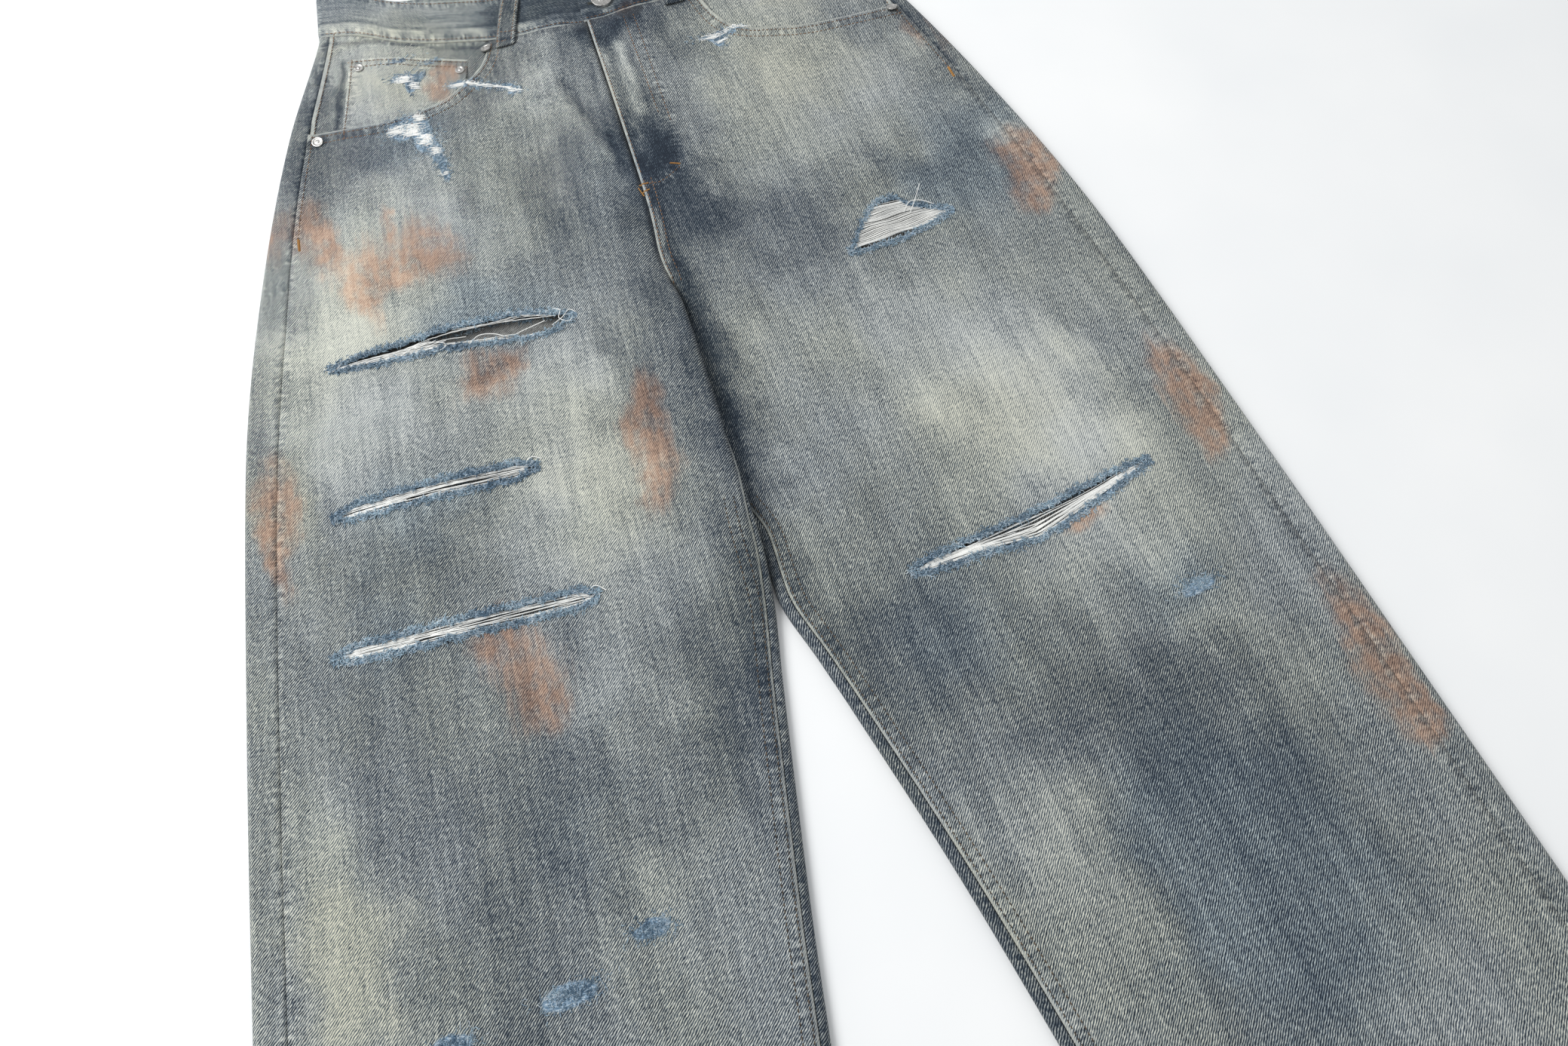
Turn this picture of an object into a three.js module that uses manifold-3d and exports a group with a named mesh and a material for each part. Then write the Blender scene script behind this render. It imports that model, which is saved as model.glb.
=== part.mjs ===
// Wide-leg five-pocket jeans with torn slits, laid flat on their back.
// Millimetres, +Z up. The cloth lies on z = 0, the waist points to +Y, and the front panels are on top.
// "right" and "left" are the wearer's sides: seen from above, right is at -X and left at +X.
import * as THREE from "three";
import Module from "manifold-3d";
import { mergeVertices } from "three/addons/utils/BufferGeometryUtils.js";

const wasm = await Module();
wasm.setup();

// ---- Cloth and seams -------------------------------------------------------------------------
const CLOTH = 1.2;
const HALF = CLOTH / 2;
const SEAM_GAP = 0.4;
const LAYER_GAP = 0.8; // between a panel and the facing behind it, which is stiff and lies flatter
const ON_CLOTH = { out: HALF + SEAM_GAP + CLOTH, back: HALF + SEAM_GAP }; // a patch on a panel
const UNDER_CLOTH = { out: -HALF - LAYER_GAP, back: -HALF - LAYER_GAP - CLOTH }; // a facing behind it

// ---- The garment as it lies. Lengths run from the band seam (v = 0) to the hem (v = 1) ----------
const BAND_SEAM_Y = 446; // band seam at the centre front, with the whole garment centred on y = 0
const SIDE_RISE = 55; // how much higher the band seam is at the side folds
const BACK_RISE = 34; // how much higher the back's band seam is at its centre
const INNER_LENGTH = 986; // band seam to hem along the centre and the inner edge
const SIDE_LENGTH = 1004; // band seam to hem along the side fold
const RISE = 261; // band seam to crotch
const BAND_HEIGHT = 46;
const HEM_DEPTH = 14;
const FLY_LENGTH = 165;

// Heights of the cloth's middle surface.
const FLOOR = HALF; // lower layer on the table
const SEAT_LIFT = ON_CLOTH.out - HALF; // the seat lies on its back pockets
const FOLD_TOP = 7.4; // upper layer just inside a side fold
const INNER_TOP = 6.4; // upper layer just inside an inner fold
const LEG_TOP = 5.4; // upper layer in the middle of a leg
const SEAT_TOP = 8.8; // upper layer over the pockets
const FLY_TOP = 11.8; // upper layer over the fly
const FOLD_REACH = 4.4;

// The wearer's right leg rolls over the left one below the crotch, and its front stands up in a ridge.
const ROLL_LIFT = 8;
const RIDGE = 6;
const TUCK = 13;

const SIGN = { right: -1, left: 1 };
const INSEAM_IN = { right: 5.2, left: 6.6 }; // inseam, measured from the inner fold
const CROTCH_V = RISE / INNER_LENGTH;
const GAP_V = SEAM_GAP / INNER_LENGTH;
const HEM_V = 1 - HEM_DEPTH / INNER_LENGTH;

const lerp = (a, b, t) => a + (b - a) * t;
const clamp = (t) => Math.min(1, Math.max(0, t));
const steps = (from, to, count) => Array.from({ length: count + 1 }, (_, k) => lerp(from, to, k / count));

// A smooth step from 0 at one value to 1 at the other.
function ramp(x, from, to) {
  const t = clamp((x - from) / (to - from));
  return t * t * (3 - 2 * t);
}

// A curve through [place, value] knots, used as a function of the place.
function through(...knots) {
  const curve = new THREE.SplineCurve(knots.map(([x, y]) => new THREE.Vector2(x, y)));
  const points = curve.getPoints(10 * (knots.length - 1));
  return (x) => {
    const k = Math.max(1, points.findIndex((p, i) => i > 0 && (p.x >= x || i === points.length - 1)));
    const [a, b] = [points[k - 1], points[k]];
    return lerp(a.y, b.y, clamp((x - a.x) / (b.x - a.x)));
  };
}

// Outline by depth below the centre front of the band seam: [depth, distance from the centre line].
const sideFoldX = through(
  [-100, 204], [-55, 208], [36, 244], [156, 278], [296, 307], [486, 329], [686, 348], [950, 372],
);
const innerGap = through(
  [476, 1.5], [496, 1.6], [512, 3.4], [543, 11.4], [559, 15.2], [586, 21.4], [676, 41], [761, 57], [986, 98],
);
const centreX = through(
  [0, -1], [176, -2], [236, -6], [286, -3], [456, -4.8], [506, -6], [543, -4.8], [586, -3.6],
  [676, -1.5], [786, 0], [986, 0],
);
const LEGS_PART = 486; // depth from which the legs' inner folds leave each other
// How far the outseam lies inside the side fold.
const outseamIn = {
  right: through([-55, 9], [0, 13], [58, 16], [146, 19], [246, 22], [446, 20], [950, 18]),
  left: through([-55, 7], [0, 9], [58, 12], [146, 15], [236, 18], [346, 19], [950, 16]),
};

// Each effect rises over the first two depths and is gone again between the last two.
const during = (depth, [rise, risen, gone, falling]) => ramp(depth, rise, risen) * ramp(depth, gone, falling);
const rollLift = (depth) => ROLL_LIFT * during(depth, [248, 288, 518, 474]);
const tuck = (depth) => TUCK * during(depth, [286, 331, 464, 416]);
const ridgeHeight = (depth) => RIDGE * during(depth, [50, 246, 546, 450]);
const rollShare = (b) => 1 - ramp(b, 20, 58);

// One row across a leg, from the inner end to the side fold.
function row(side, v) {
  const depth = INNER_LENGTH * v;
  const sideDepth = SIDE_LENGTH * v - SIDE_RISE;
  const sign = SIGN[side];
  const half = v < CROTCH_V ? SEAM_GAP / 2 : innerGap(Math.max(LEGS_PART, depth));
  const xi = centreX(depth) + sign * half - (side === "left" ? tuck(depth) : 0);
  const xo = sign * sideFoldX(sideDepth);
  return { side, sign, v, depth, sideDepth, xi, xo, width: Math.abs(xo - xi) };
}

// In-plane place on a row, b millimetres from its inner end. Near the waist the rows sag to the centre.
function plan(r, b) {
  const u = clamp(b / r.width);
  const bend = lerp(1.8, 1, ramp(r.v, 0, 0.3));
  const y = BAND_SEAM_Y - lerp(r.depth, r.sideDepth, Math.pow(u, bend));
  return { u, x: lerp(r.xi, r.xo, b / r.width), y };
}

// Soft ridges and troughs of the upper layer: the crest's [x, depth] places, its width and height.
const CREASES = [
  { crest: [[-78, 46], [-50, 116], [-30, 186]], width: 24, height: 3 },
  { crest: [[52, 26], [66, 96], [60, 176]], width: 17, height: -1.6 },
  { crest: [[105, 76], [120, 186], [112, 286]], width: 34, height: 2 },
  { crest: [[-150, 136], [-175, 286]], width: 40, height: 1.6 },
  { crest: [[-210, 316], [-190, 506], [-215, 686]], width: 36, height: 1.8 },
  { crest: [[70, 606], [110, 746], [150, 886]], width: 34, height: 1.8 },
  { crest: [[215, 316], [255, 506], [240, 686]], width: 36, height: 1.8 },
  { crest: [[-120, 706], [-140, 846]], width: 40, height: 1.6 },
];

function creaseHeight(x, depth) {
  const here = new THREE.Vector3(x, depth, 0);
  const nearest = new THREE.Vector3();
  let height = 0;
  for (const crease of CREASES) {
    const crest = crease.crest.map(([cx, cy]) => new THREE.Vector3(cx, cy, 0));
    let distance = Infinity;
    for (let i = 0; i + 1 < crest.length; i++) {
      new THREE.Line3(crest[i], crest[i + 1]).closestPointToPoint(here, true, nearest);
      distance = Math.min(distance, nearest.distanceTo(here));
    }
    height += crease.height * Math.exp(-((distance / crease.width) ** 2));
  }
  return height;
}

const FOLD_EASE = 62; // the upper layer reaches its full height this far inside the side fold
const RIDGE_WIDTH = 30;

function lowerZ(r, b) {
  const { y } = plan(r, b);
  const seat = SEAT_LIFT * ramp(BAND_SEAM_Y - y, 366, 271);
  return FLOOR + seat + (r.side === "right" ? rollLift(r.depth) * rollShare(b) : 0);
}

function upperZ(r, b) {
  const { x, y } = plan(r, b);
  const depth = BAND_SEAM_Y - y;
  const fromSide = ramp(r.width - b, FOLD_REACH, FOLD_EASE);
  const intoLeg = ramp(depth, 160, 420);
  const middle = lerp(SEAT_TOP, LEG_TOP, intoLeg);
  const edge = lerp(FOLD_TOP + CLOTH, FOLD_TOP, intoLeg);
  const body = lerp(edge, middle, fromSide) + creaseHeight(x, depth) * fromSide * ramp(depth, -20, 60);
  const legged = r.v >= CROTCH_V;
  const foot = legged ? INNER_TOP : lerp(FLY_TOP, SEAT_TOP, ramp(r.depth, FLY_LENGTH + 15, RISE - 10));
  const z = lerp(foot, body, ramp(b, legged ? FOLD_REACH : 32, legged ? 44 : 70));
  if (r.side === "left") return z;
  const crest = lerp(50, 24, ramp(r.depth, 46, 276));
  const ridge = ridgeHeight(r.depth) * Math.exp(-(((b - crest) / RIDGE_WIDTH) ** 2));
  return z + rollLift(r.depth) * rollShare(b) + ridge;
}

function onTop(side, v, b) {
  const r = row(side, v);
  const { x, y } = plan(r, b);
  return new THREE.Vector3(x, y, upperZ(r, b));
}

// The back is cut longer than the front, so its rows climb towards the centre of the waist.
function below(side, v, b) {
  const r = row(side, v);
  const { u, x, y } = plan(r, b);
  const climb = BACK_RISE * (1 - ramp(v, 0, CROTCH_V)) * ramp(1 - u, 0, 1);
  return new THREE.Vector3(x, y + climb, lowerZ(r, b));
}

// The turn between the layers at the side fold or the inner one: share 0 is on top and 1 below.
function fold(side, v, edge, share) {
  const r = row(side, v);
  const start = edge === "side" ? r.width - FOLD_REACH : FOLD_REACH;
  const angle = Math.PI * share;
  const reach = FOLD_REACH * Math.sin(angle) * r.sign * (edge === "side" ? 1 : -1);
  const { x, y } = plan(r, start);
  const z = lerp(lowerZ(r, start), upperZ(r, start), (1 + Math.cos(angle)) / 2);
  return new THREE.Vector3(x + reach, y, z);
}

// ---- Solids -----------------------------------------------------------------------------------
// Cloth as a closed wall: a grid of middle points, moved along its normals to its two faces.
// grid[i][j] runs across (i) and along (j), and its normal is across x along. A ring joins its ends.
function cloth(grid, out, back, isRing = false) {
  const columns = grid.length;
  const rows = grid[0].length;
  const wrap = (i) => (isRing ? (i + columns) % columns : Math.min(columns - 1, Math.max(0, i)));
  const at = (i, j) => grid[wrap(i)][Math.min(rows - 1, Math.max(0, j))];
  const faces = [[], []];
  for (let i = 0; i < columns; i++)
    for (let j = 0; j < rows; j++) {
      const across = at(i + 1, j).clone().sub(at(i - 1, j)).normalize();
      const along = at(i, j + 1).clone().sub(at(i, j - 1)).normalize();
      const normal = across.cross(along).normalize();
      faces[0].push(at(i, j).clone().addScaledVector(normal, out));
      faces[1].push(at(i, j).clone().addScaledVector(normal, back));
    }
  const inner = columns * rows;
  const id = (i, j) => wrap(i) * rows + j;
  const index = [];
  const quad = (a, b, c, d) => index.push(a, b, c, a, c, d);
  const rim = (a, b) => quad(a, inner + a, inner + b, b);
  const spans = isRing ? columns : columns - 1;
  for (let i = 0; i < spans; i++) {
    for (let j = 0; j + 1 < rows; j++) {
      const [a, b, c, d] = [id(i, j), id(i + 1, j), id(i + 1, j + 1), id(i, j + 1)];
      quad(a, b, c, d);
      quad(inner + d, inner + c, inner + b, inner + a);
    }
    rim(id(i, 0), id(i + 1, 0));
    rim(id(i + 1, rows - 1), id(i, rows - 1));
  }
  for (let j = 0; j + 1 < rows && !isRing; j++) {
    rim(id(columns - 1, j), id(columns - 1, j + 1));
    rim(id(0, j + 1), id(0, j));
  }
  const points = [...faces[0], ...faces[1]].flatMap((p) => p.toArray());
  return new THREE.BufferGeometry()
    .setAttribute("position", new THREE.Float32BufferAttribute(points, 3))
    .setIndex(index);
}

// The sides mirror each other, so the left one's columns are turned round to face outwards.
const outwards = (side, grid) => (side === "right" ? grid : [...grid].reverse());

function solid(geometry) {
  const bare = geometry.clone();
  bare.deleteAttribute("normal");
  bare.deleteAttribute("uv");
  const merged = mergeVertices(bare, 1e-4);
  return new wasm.Manifold(
    new wasm.Mesh({
      numProp: 3,
      vertProperties: new Float32Array(merged.attributes.position.array),
      triVerts: new Uint32Array(merged.index.array),
    }),
  );
}

function geometryOf(manifold) {
  const mesh = manifold.getMesh();
  return new THREE.BufferGeometry()
    .setAttribute("position", new THREE.BufferAttribute(new Float32Array(mesh.vertProperties), 3))
    .setIndex(new THREE.BufferAttribute(new Uint32Array(mesh.triVerts), 1));
}

// An upright block with the given outline, tall enough to cut through both layers.
function upright(shape, curveSegments = 4) {
  const block = new THREE.ExtrudeGeometry(shape, { depth: 60, bevelEnabled: false, curveSegments });
  return block.translate(0, 0, -20);
}

// ---- Materials --------------------------------------------------------------------------------
const fabric = (color) => new THREE.MeshStandardMaterial({ color, roughness: 0.92, metalness: 0 });
const DENIM = fabric(0x7d8790);
const DENIM_DARK = fabric(0x4c5763);
const TAPE = fabric(0x3c434b);
const NICKEL = new THREE.MeshStandardMaterial({ color: 0xb9b7b3, roughness: 0.35, metalness: 1 });

const jeans = new THREE.Group();
function add(name, geometry, material) {
  geometry.computeVertexNormals();
  const mesh = new THREE.Mesh(geometry, material);
  mesh.name = name;
  jeans.add(mesh);
}

// ---- Front panels -----------------------------------------------------------------------------
const SEAT_ROWS = [...steps(GAP_V, 0.1, 4), 0.14];
const CROTCH_TURN = 0.012;
const LEG_ROWS = [
  ...SEAT_ROWS,
  0.2,
  CROTCH_V - CROTCH_TURN,
  CROTCH_V + CROTCH_TURN,
  ...steps(0.31, 0.55, 6),
  ...steps(0.62, HEM_V - GAP_V, 4),
];
const FRONT_SHARES = [0, 0.04, 0.1, 0.17, 0.26, 0.38, 0.52, 0.68, 0.82, 0.92, 1];

function frontPoint(side, v, share) {
  const r = row(side, v);
  const from = v < CROTCH_V ? 0 : INSEAM_IN[side];
  return onTop(side, v, lerp(from, r.width - outseamIn[side](r.sideDepth), share));
}
const frontGrid = (side, shares, rows) =>
  outwards(side, shares.map((share) => rows.map((v) => frontPoint(side, v, share))));

// Each pocket mouth scoops from the band to the outseam: [distance from the centre line, depth].
const SCOOP = {
  right: [[80, -10], [86, 8], [98, 24], [115, 36], [135, 44], [165, 48], [200, 46], [232, 42]],
  left: [[90, -12], [93, 4], [100, 26], [113, 44], [150, 55], [190, 59], [245, 61]],
};

// All that lies above and outside the scoop, kept clear of the panel by a margin.
function mouthBlock(side, margin) {
  const place = ([x, depth]) => new THREE.Vector2(SIGN[side] * (x + margin), BAND_SEAM_Y - depth + margin);
  const scoop = new THREE.SplineCurve(SCOOP[side].map(place)).getPoints(18);
  const [start, end] = [scoop[0], scoop[scoop.length - 1]];
  const corner = new THREE.Vector2(SIGN[side] * 300, end.y);
  const top = BAND_SEAM_Y + 130;
  const outline = [new THREE.Vector2(start.x, top), ...scoop, corner, new THREE.Vector2(corner.x, top)];
  return solid(upright(new THREE.Shape(outline)));
}

// Torn slits: the middle's place, the length, the widest gape, the turn in degrees and where it gapes most.
const TEARS = [
  { side: "right", x: -160, depth: 252, length: 162, gape: 11, turn: -2, widest: 0.66 },
  { side: "right", x: -190, depth: 360, length: 126, gape: 8, turn: 0, widest: 0.5 },
  { side: "right", x: -189, depth: 460, length: 156, gape: 8, turn: -1, widest: 0.5 },
  { side: "left", x: 165, depth: 503, length: 166, gape: 12, turn: 6, widest: 0.5 },
  { side: "left", x: 164, depth: 263, length: 78, gape: 20, turn: 6, widest: 0.4 },
];

function tearBlock({ x, depth, length, gape, turn, widest }) {
  const half = length / 2;
  const peak = lerp(-half, half, widest);
  const lip = gape / 2;
  const shape = new THREE.Shape();
  shape.moveTo(-half, 0);
  shape.quadraticCurveTo(lerp(-half, peak, 0.5), -lip, peak, -lip);
  shape.quadraticCurveTo(lerp(peak, half, 0.5), -lip, half, 0);
  shape.quadraticCurveTo(lerp(peak, half, 0.5), lip, peak, lip);
  shape.quadraticCurveTo(lerp(-half, peak, 0.5), lip, -half, 0);
  const block = upright(shape).rotateZ(THREE.MathUtils.degToRad(turn));
  return solid(block.translate(x, BAND_SEAM_Y - depth, 0));
}

for (const side of ["right", "left"]) {
  let panel = solid(cloth(frontGrid(side, FRONT_SHARES, LEG_ROWS), HALF, -HALF));
  panel = panel.subtract(mouthBlock(side, 0));
  for (const tear of TEARS) if (tear.side === side) panel = panel.subtract(tearBlock(tear));
  add(`front_${side}`, geometryOf(panel), DENIM);
}

// ---- Pocket facings and the coin pocket ---------------------------------------------------------
for (const side of ["right", "left"]) {
  const grid = frontGrid(side, FRONT_SHARES.slice(5), SEAT_ROWS);
  add(`pocket_facing_${side}`, cloth(grid, UNDER_CLOTH.out, UNDER_CLOTH.back), DENIM);
}
const coinGrid = frontGrid("right", FRONT_SHARES.slice(6, 10), SEAT_ROWS.slice(1));
const coinPocket = solid(cloth(coinGrid, HALF, -HALF)).intersect(mouthBlock("right", SEAM_GAP * 1.5));
add("coin_pocket", geometryOf(coinPocket), DENIM);

// ---- Fly --------------------------------------------------------------------------------------
const FLY_ROWS = steps(0.005, FLY_LENGTH / INNER_LENGTH, 4);
const FLY_WIDTH = 30;
const flyGrid = outwards("left", steps(0, FLY_WIDTH, 3).map((b) => FLY_ROWS.map((v) => onTop("left", v, b))));
add("fly_facing", cloth(flyGrid, UNDER_CLOTH.out, UNDER_CLOTH.back), DENIM_DARK);

// Flat layers under the fly: [left edge, right edge], foot of the layer and its thickness.
function flyLayer(name, [x0, x1], z, thickness, material) {
  const top = BAND_SEAM_Y - 4;
  const bottom = BAND_SEAM_Y - FLY_LENGTH;
  const layer = new THREE.BoxGeometry(x1 - x0, top - bottom, thickness);
  add(name, layer.translate((x0 + x1) / 2, (top + bottom) / 2, z + thickness / 2), material);
}
flyLayer("zip", [-18, 26], 7.6, 1.2, TAPE);
flyLayer("fly_shield", [-22, 30], 5.7, 1.5, DENIM_DARK);

// ---- Back panels, yokes and back pockets --------------------------------------------------------
// Stations round a back piece: the outseam on top, the side fold, the table, the inner fold and the
// inseam on top. Above the crotch the last ones lie flat, up to the seat seam.
const TURN = steps(0, 1, 5);
const TABLE_SHARES = [0.06, 0.2, 0.38, 0.56, 0.72, 0.86, 0.94];
const SEAT_END = 30;

function backColumn(side, v) {
  const r = row(side, v);
  const seam = outseamIn[side](r.sideDepth) - SEAM_GAP;
  const legged = v > CROTCH_V;
  const tableEnd = legged ? FOLD_REACH : SEAT_END;
  const alongTable = (share) => below(side, v, lerp(r.width - FOLD_REACH, tableEnd, share));
  const inseam = INSEAM_IN[side] - SEAM_GAP;
  const inwards = (share) => below(side, v, lerp(SEAT_END, SEAM_GAP / 2, share));
  return [
    onTop(side, v, r.width - seam),
    ...TURN.map((share) => fold(side, v, "side", share)),
    ...TABLE_SHARES.map(alongTable),
    ...TURN.map((share) => (legged ? fold(side, v, "inner", 1 - share) : inwards(share * 0.9))),
    legged ? onTop(side, v, inseam) : inwards(1),
  ];
}

const TABLE_START = TURN.length;
const TABLE_END = TURN.length + TABLE_SHARES.length;

// A back piece whose rows run between two edges, each given by how near a station is to the centre.
function backPiece(side, from, to, rowShares, lowerRows = []) {
  const count = backColumn(side, GAP_V).length;
  const columns = steps(0, count - 1, count - 1).map((i) => {
    const place = clamp((i - TABLE_START) / (TABLE_END - TABLE_START));
    const upperRows = rowShares.map((share) => lerp(from(place), to(place), share));
    return [...upperRows, ...lowerRows].map((v) => backColumn(side, v)[i]);
  });
  return cloth(outwards(side, columns), HALF, -HALF);
}

const yokeEdge = (place) => lerp(0.045, 0.095, place);
const backEdge = (place) => yokeEdge(place) + GAP_V;
const BACK_SPLIT_V = 0.2;
const BACK_LOWER_ROWS = LEG_ROWS.filter((v) => v > BACK_SPLIT_V);

// The back pocket's corners on a row, measured from the inner end, and its rows.
const POCKET_IN = 48;
const POCKET_WIDTH = 122;
const POCKET_TOP_V = 0.115;
const POCKET_POINT_V = 0.255;

function backPocket(side) {
  const columns = steps(0, 1, 4).map((share) => {
    const foot = POCKET_POINT_V - 0.02 * Math.abs(2 * share - 1);
    return steps(POCKET_TOP_V, foot, 4).map((v) => {
      const taper = 8 * ((v - POCKET_TOP_V) / (foot - POCKET_TOP_V));
      return below(side, v, POCKET_IN + lerp(POCKET_WIDTH - taper, taper, share));
    });
  });
  return cloth(outwards(side, columns), ON_CLOTH.out, ON_CLOTH.back);
}

for (const side of ["right", "left"]) {
  add(`yoke_${side}`, backPiece(side, () => GAP_V, yokeEdge, [0, 0.5, 1]), DENIM);
  const back = backPiece(side, backEdge, () => BACK_SPLIT_V, steps(0, 1, 3), BACK_LOWER_ROWS);
  add(`back_${side}`, back, DENIM);
  add(`back_pocket_${side}`, backPocket(side), DENIM);
}

// ---- Hems -------------------------------------------------------------------------------------
// A turned-up hem is a ring of doubled cloth with its outer face level with the panels'.
for (const side of ["right", "left"]) {
  const hemRow = (v) => [...FRONT_SHARES.map((share) => frontPoint(side, v, share)), ...backColumn(side, v)];
  const rows = [HEM_V, 1].map(hemRow);
  const columns = rows[0].map((point, i) => [point, rows[1][i]]);
  add(`hem_${side}`, cloth(outwards(side, columns), HALF, HALF - 2 * CLOTH, true), DENIM);
}

// ---- Waistband --------------------------------------------------------------------------------
// One strip round the waist. Its left end laps over its right end at the centre front.
const BAND_WALL = 2;
const BAND_NARROWS = 0.02; // how much shorter the band's upper edge is than its seam
const OVERLAP = { over: -3, under: 34 };
const UNDER_DROP = BAND_WALL + SEAM_GAP + 0.2;
const BAND_TURN = steps(0, 1, 6);
const BAND_TOP_SHARES = [0, 0.08, 0.2, 0.34, 0.5, 0.68, 0.86];
const BAND_BACK_SHARES = steps(0, 1, 5);

// A column of the band from its seam (t = 0) to its upper edge (t = 1), standing on a point of row 0.
const bandRise = (point, t, lift = 0) =>
  new THREE.Vector3(point.x * (1 - BAND_NARROWS * t), point.y + SEAM_GAP + BAND_HEIGHT * t, point.z + lift);

function bandFront(side, share) {
  const r = row(side, 0);
  return onTop(side, 0, (r.width - FOLD_REACH) * share);
}
function bandBack(side, share) {
  const r = row(side, 0);
  return below(side, 0, (r.width - FOLD_REACH) * share);
}

// Half of the band's columns, from the centre front round the side fold to the centre back.
function bandHalf(side) {
  const front = BAND_TOP_SHARES.map((share) => bandFront(side, share));
  const turn = BAND_TURN.map((share) => fold(side, 0, "side", share));
  const back = [...BAND_BACK_SHARES].reverse().slice(1, -1).map((share) => bandBack(side, share));
  return [...front, ...turn, ...back];
}

const centreFront = bandFront("left", 0);
const centreBack = bandBack("left", 0);
const underEnd = [OVERLAP.under, OVERLAP.under * 0.5, 0].map(
  (x) => new THREE.Vector3(x, centreFront.y, centreFront.z - UNDER_DROP),
);
const dropped = bandHalf("right").map((point, i) => {
  const share = clamp(1 - i / 2);
  return point.clone().setZ(point.z - UNDER_DROP * share);
});
const overEnd = new THREE.Vector3(OVERLAP.over, centreFront.y, centreFront.z);
const bandBase = [...underEnd, ...dropped.slice(1), centreBack, ...bandHalf("left").reverse(), overEnd];
const BACK_BAND_LIFT = 0.4;
const bandGrid = bandBase.map((point) => {
  const lift = point.z < FLOOR + SEAT_LIFT + 1 ? BACK_BAND_LIFT : 0;
  return [1, 0.5, 0].map((t) => bandRise(point, t, lift));
});
let band = solid(cloth(bandGrid, BAND_WALL / 2, -BAND_WALL / 2));

// The buttonhole is a slot in the over end only.
const BUTTON = { x: 16, up: 17.5, cap: 8.5, shank: 2, hole: 17 };
const buttonBase = bandRise(new THREE.Vector3(BUTTON.x, centreFront.y, centreFront.z), BUTTON.up / BAND_HEIGHT);
const slotDepth = BAND_WALL + 1;
const slot = new THREE.BoxGeometry(BUTTON.hole, 2 * BUTTON.shank + 1.5, slotDepth);
slot.translate(BUTTON.x - 2, buttonBase.y, buttonBase.z);
band = band.subtract(solid(slot));
add("waistband", geometryOf(band), DENIM);

// ---- Belt loops ---------------------------------------------------------------------------------
const LOOP_WIDTH = 15;
const LOOP_FOOT = -0.21; // the loop's foot reaches below the band, as a share of the band's height
// The loop runs from x = foot at the band's seam to x = head at its upper edge.
function beltLoop(name, foot, head, isBack) {
  const side = foot < 0 ? "right" : "left";
  const lift = isBack ? BACK_BAND_LIFT : 0;
  const r = row(side, 0);
  const columns = [-LOOP_WIDTH / 2, 0, LOOP_WIDTH / 2].map((across) =>
    steps(0.98, LOOP_FOOT, 3).map((t) => {
      const x = lerp(foot, head, t) + across;
      const b = Math.abs(x - r.xi);
      const seam = isBack ? below(side, 0, b) : onTop(side, 0, b);
      return bandRise(seam, t, lift).setX(x);
    }),
  );
  const out = BAND_WALL / 2 + (isBack ? SEAM_GAP : LAYER_GAP) + CLOTH;
  add(name, cloth(isBack ? columns : columns.reverse(), out, out - CLOTH), DENIM);
}
beltLoop("belt_loop_front_right", -68, -52, false);
beltLoop("belt_loop_front_left", 71, 76, false);
beltLoop("belt_loop_back_right", -128, -128, true);
beltLoop("belt_loop_back_left", 128, 128, true);
beltLoop("belt_loop_centre_back", 0.1, 0.1, true);

// ---- Button and rivets ----------------------------------------------------------------------------
// A turned piece standing on a point: [radius, height] round its axis.
function turned(profile, point, normal, segments) {
  const piece = new THREE.LatheGeometry(profile.map(([x, y]) => new THREE.Vector2(x, y)), segments);
  const turn = new THREE.Quaternion().setFromUnitVectors(new THREE.Vector3(0, 1, 0), normal);
  return piece.applyQuaternion(turn).translate(point.x, point.y, point.z);
}

const shankFoot = -BAND_WALL / 2 - 0.2;
const capFoot = BAND_WALL / 2 + SEAM_GAP;
const buttonProfile = [
  [0, shankFoot],
  [BUTTON.shank, shankFoot],
  [BUTTON.shank, capFoot],
  [BUTTON.cap, capFoot],
  [BUTTON.cap, capFoot + 1.4],
  [BUTTON.cap - 1.5, capFoot + 2.2],
  [0, capFoot + 2.2],
];
add("waist_button", turned(buttonProfile, buttonBase, new THREE.Vector3(0, 0, 1), 24), NICKEL);

const RIVET_PROFILE = [[0, 0], [4.5, 0], [4.5, 0.5], [3.6, 1.1], [0, 1.3]];
const RIVET_GAP = 0.7;
const RIVETS = [
  { name: "rivet_right_inner", side: "right", v: 0.009, b: 82 },
  { name: "rivet_right_outer", side: "right", v: 0.098, b: 222 },
  { name: "rivet_left_inner", side: "left", v: 0.008, b: 91 },
  { name: "rivet_left_outer", side: "left", v: 0.112, b: 235 },
  { name: "rivet_coin_inner", side: "right", v: 0.03, b: 106 },
  { name: "rivet_coin_outer", side: "right", v: 0.026, b: 181 },
];
for (const { name, side, v, b } of RIVETS) {
  const point = onTop(side, v, b);
  const across = onTop(side, v, b + 4).sub(onTop(side, v, b - 4));
  const along = onTop(side, v + 0.004, b).sub(onTop(side, v - 0.004, b));
  const normal = across.cross(along).normalize();
  if (normal.z < 0) normal.negate();
  const foot = point.addScaledVector(normal, HALF + RIVET_GAP);
  add(name, turned(RIVET_PROFILE, foot, normal, 16), NICKEL);
}

export default jeans;
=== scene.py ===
"""Wide-leg ripped jeans laid flat on their back: finished cloth, seams, stitches, tears and hardware.

Shape functions work in millimetres in the part's frame; meshes are made in metres.
"right" and "left" are the wearer's sides: right is at -X and left at +X.
"""
import itertools
import math

import bpy
import numpy as np
from mathutils import Matrix, Vector
from mathutils.bvhtree import BVHTree


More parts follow.
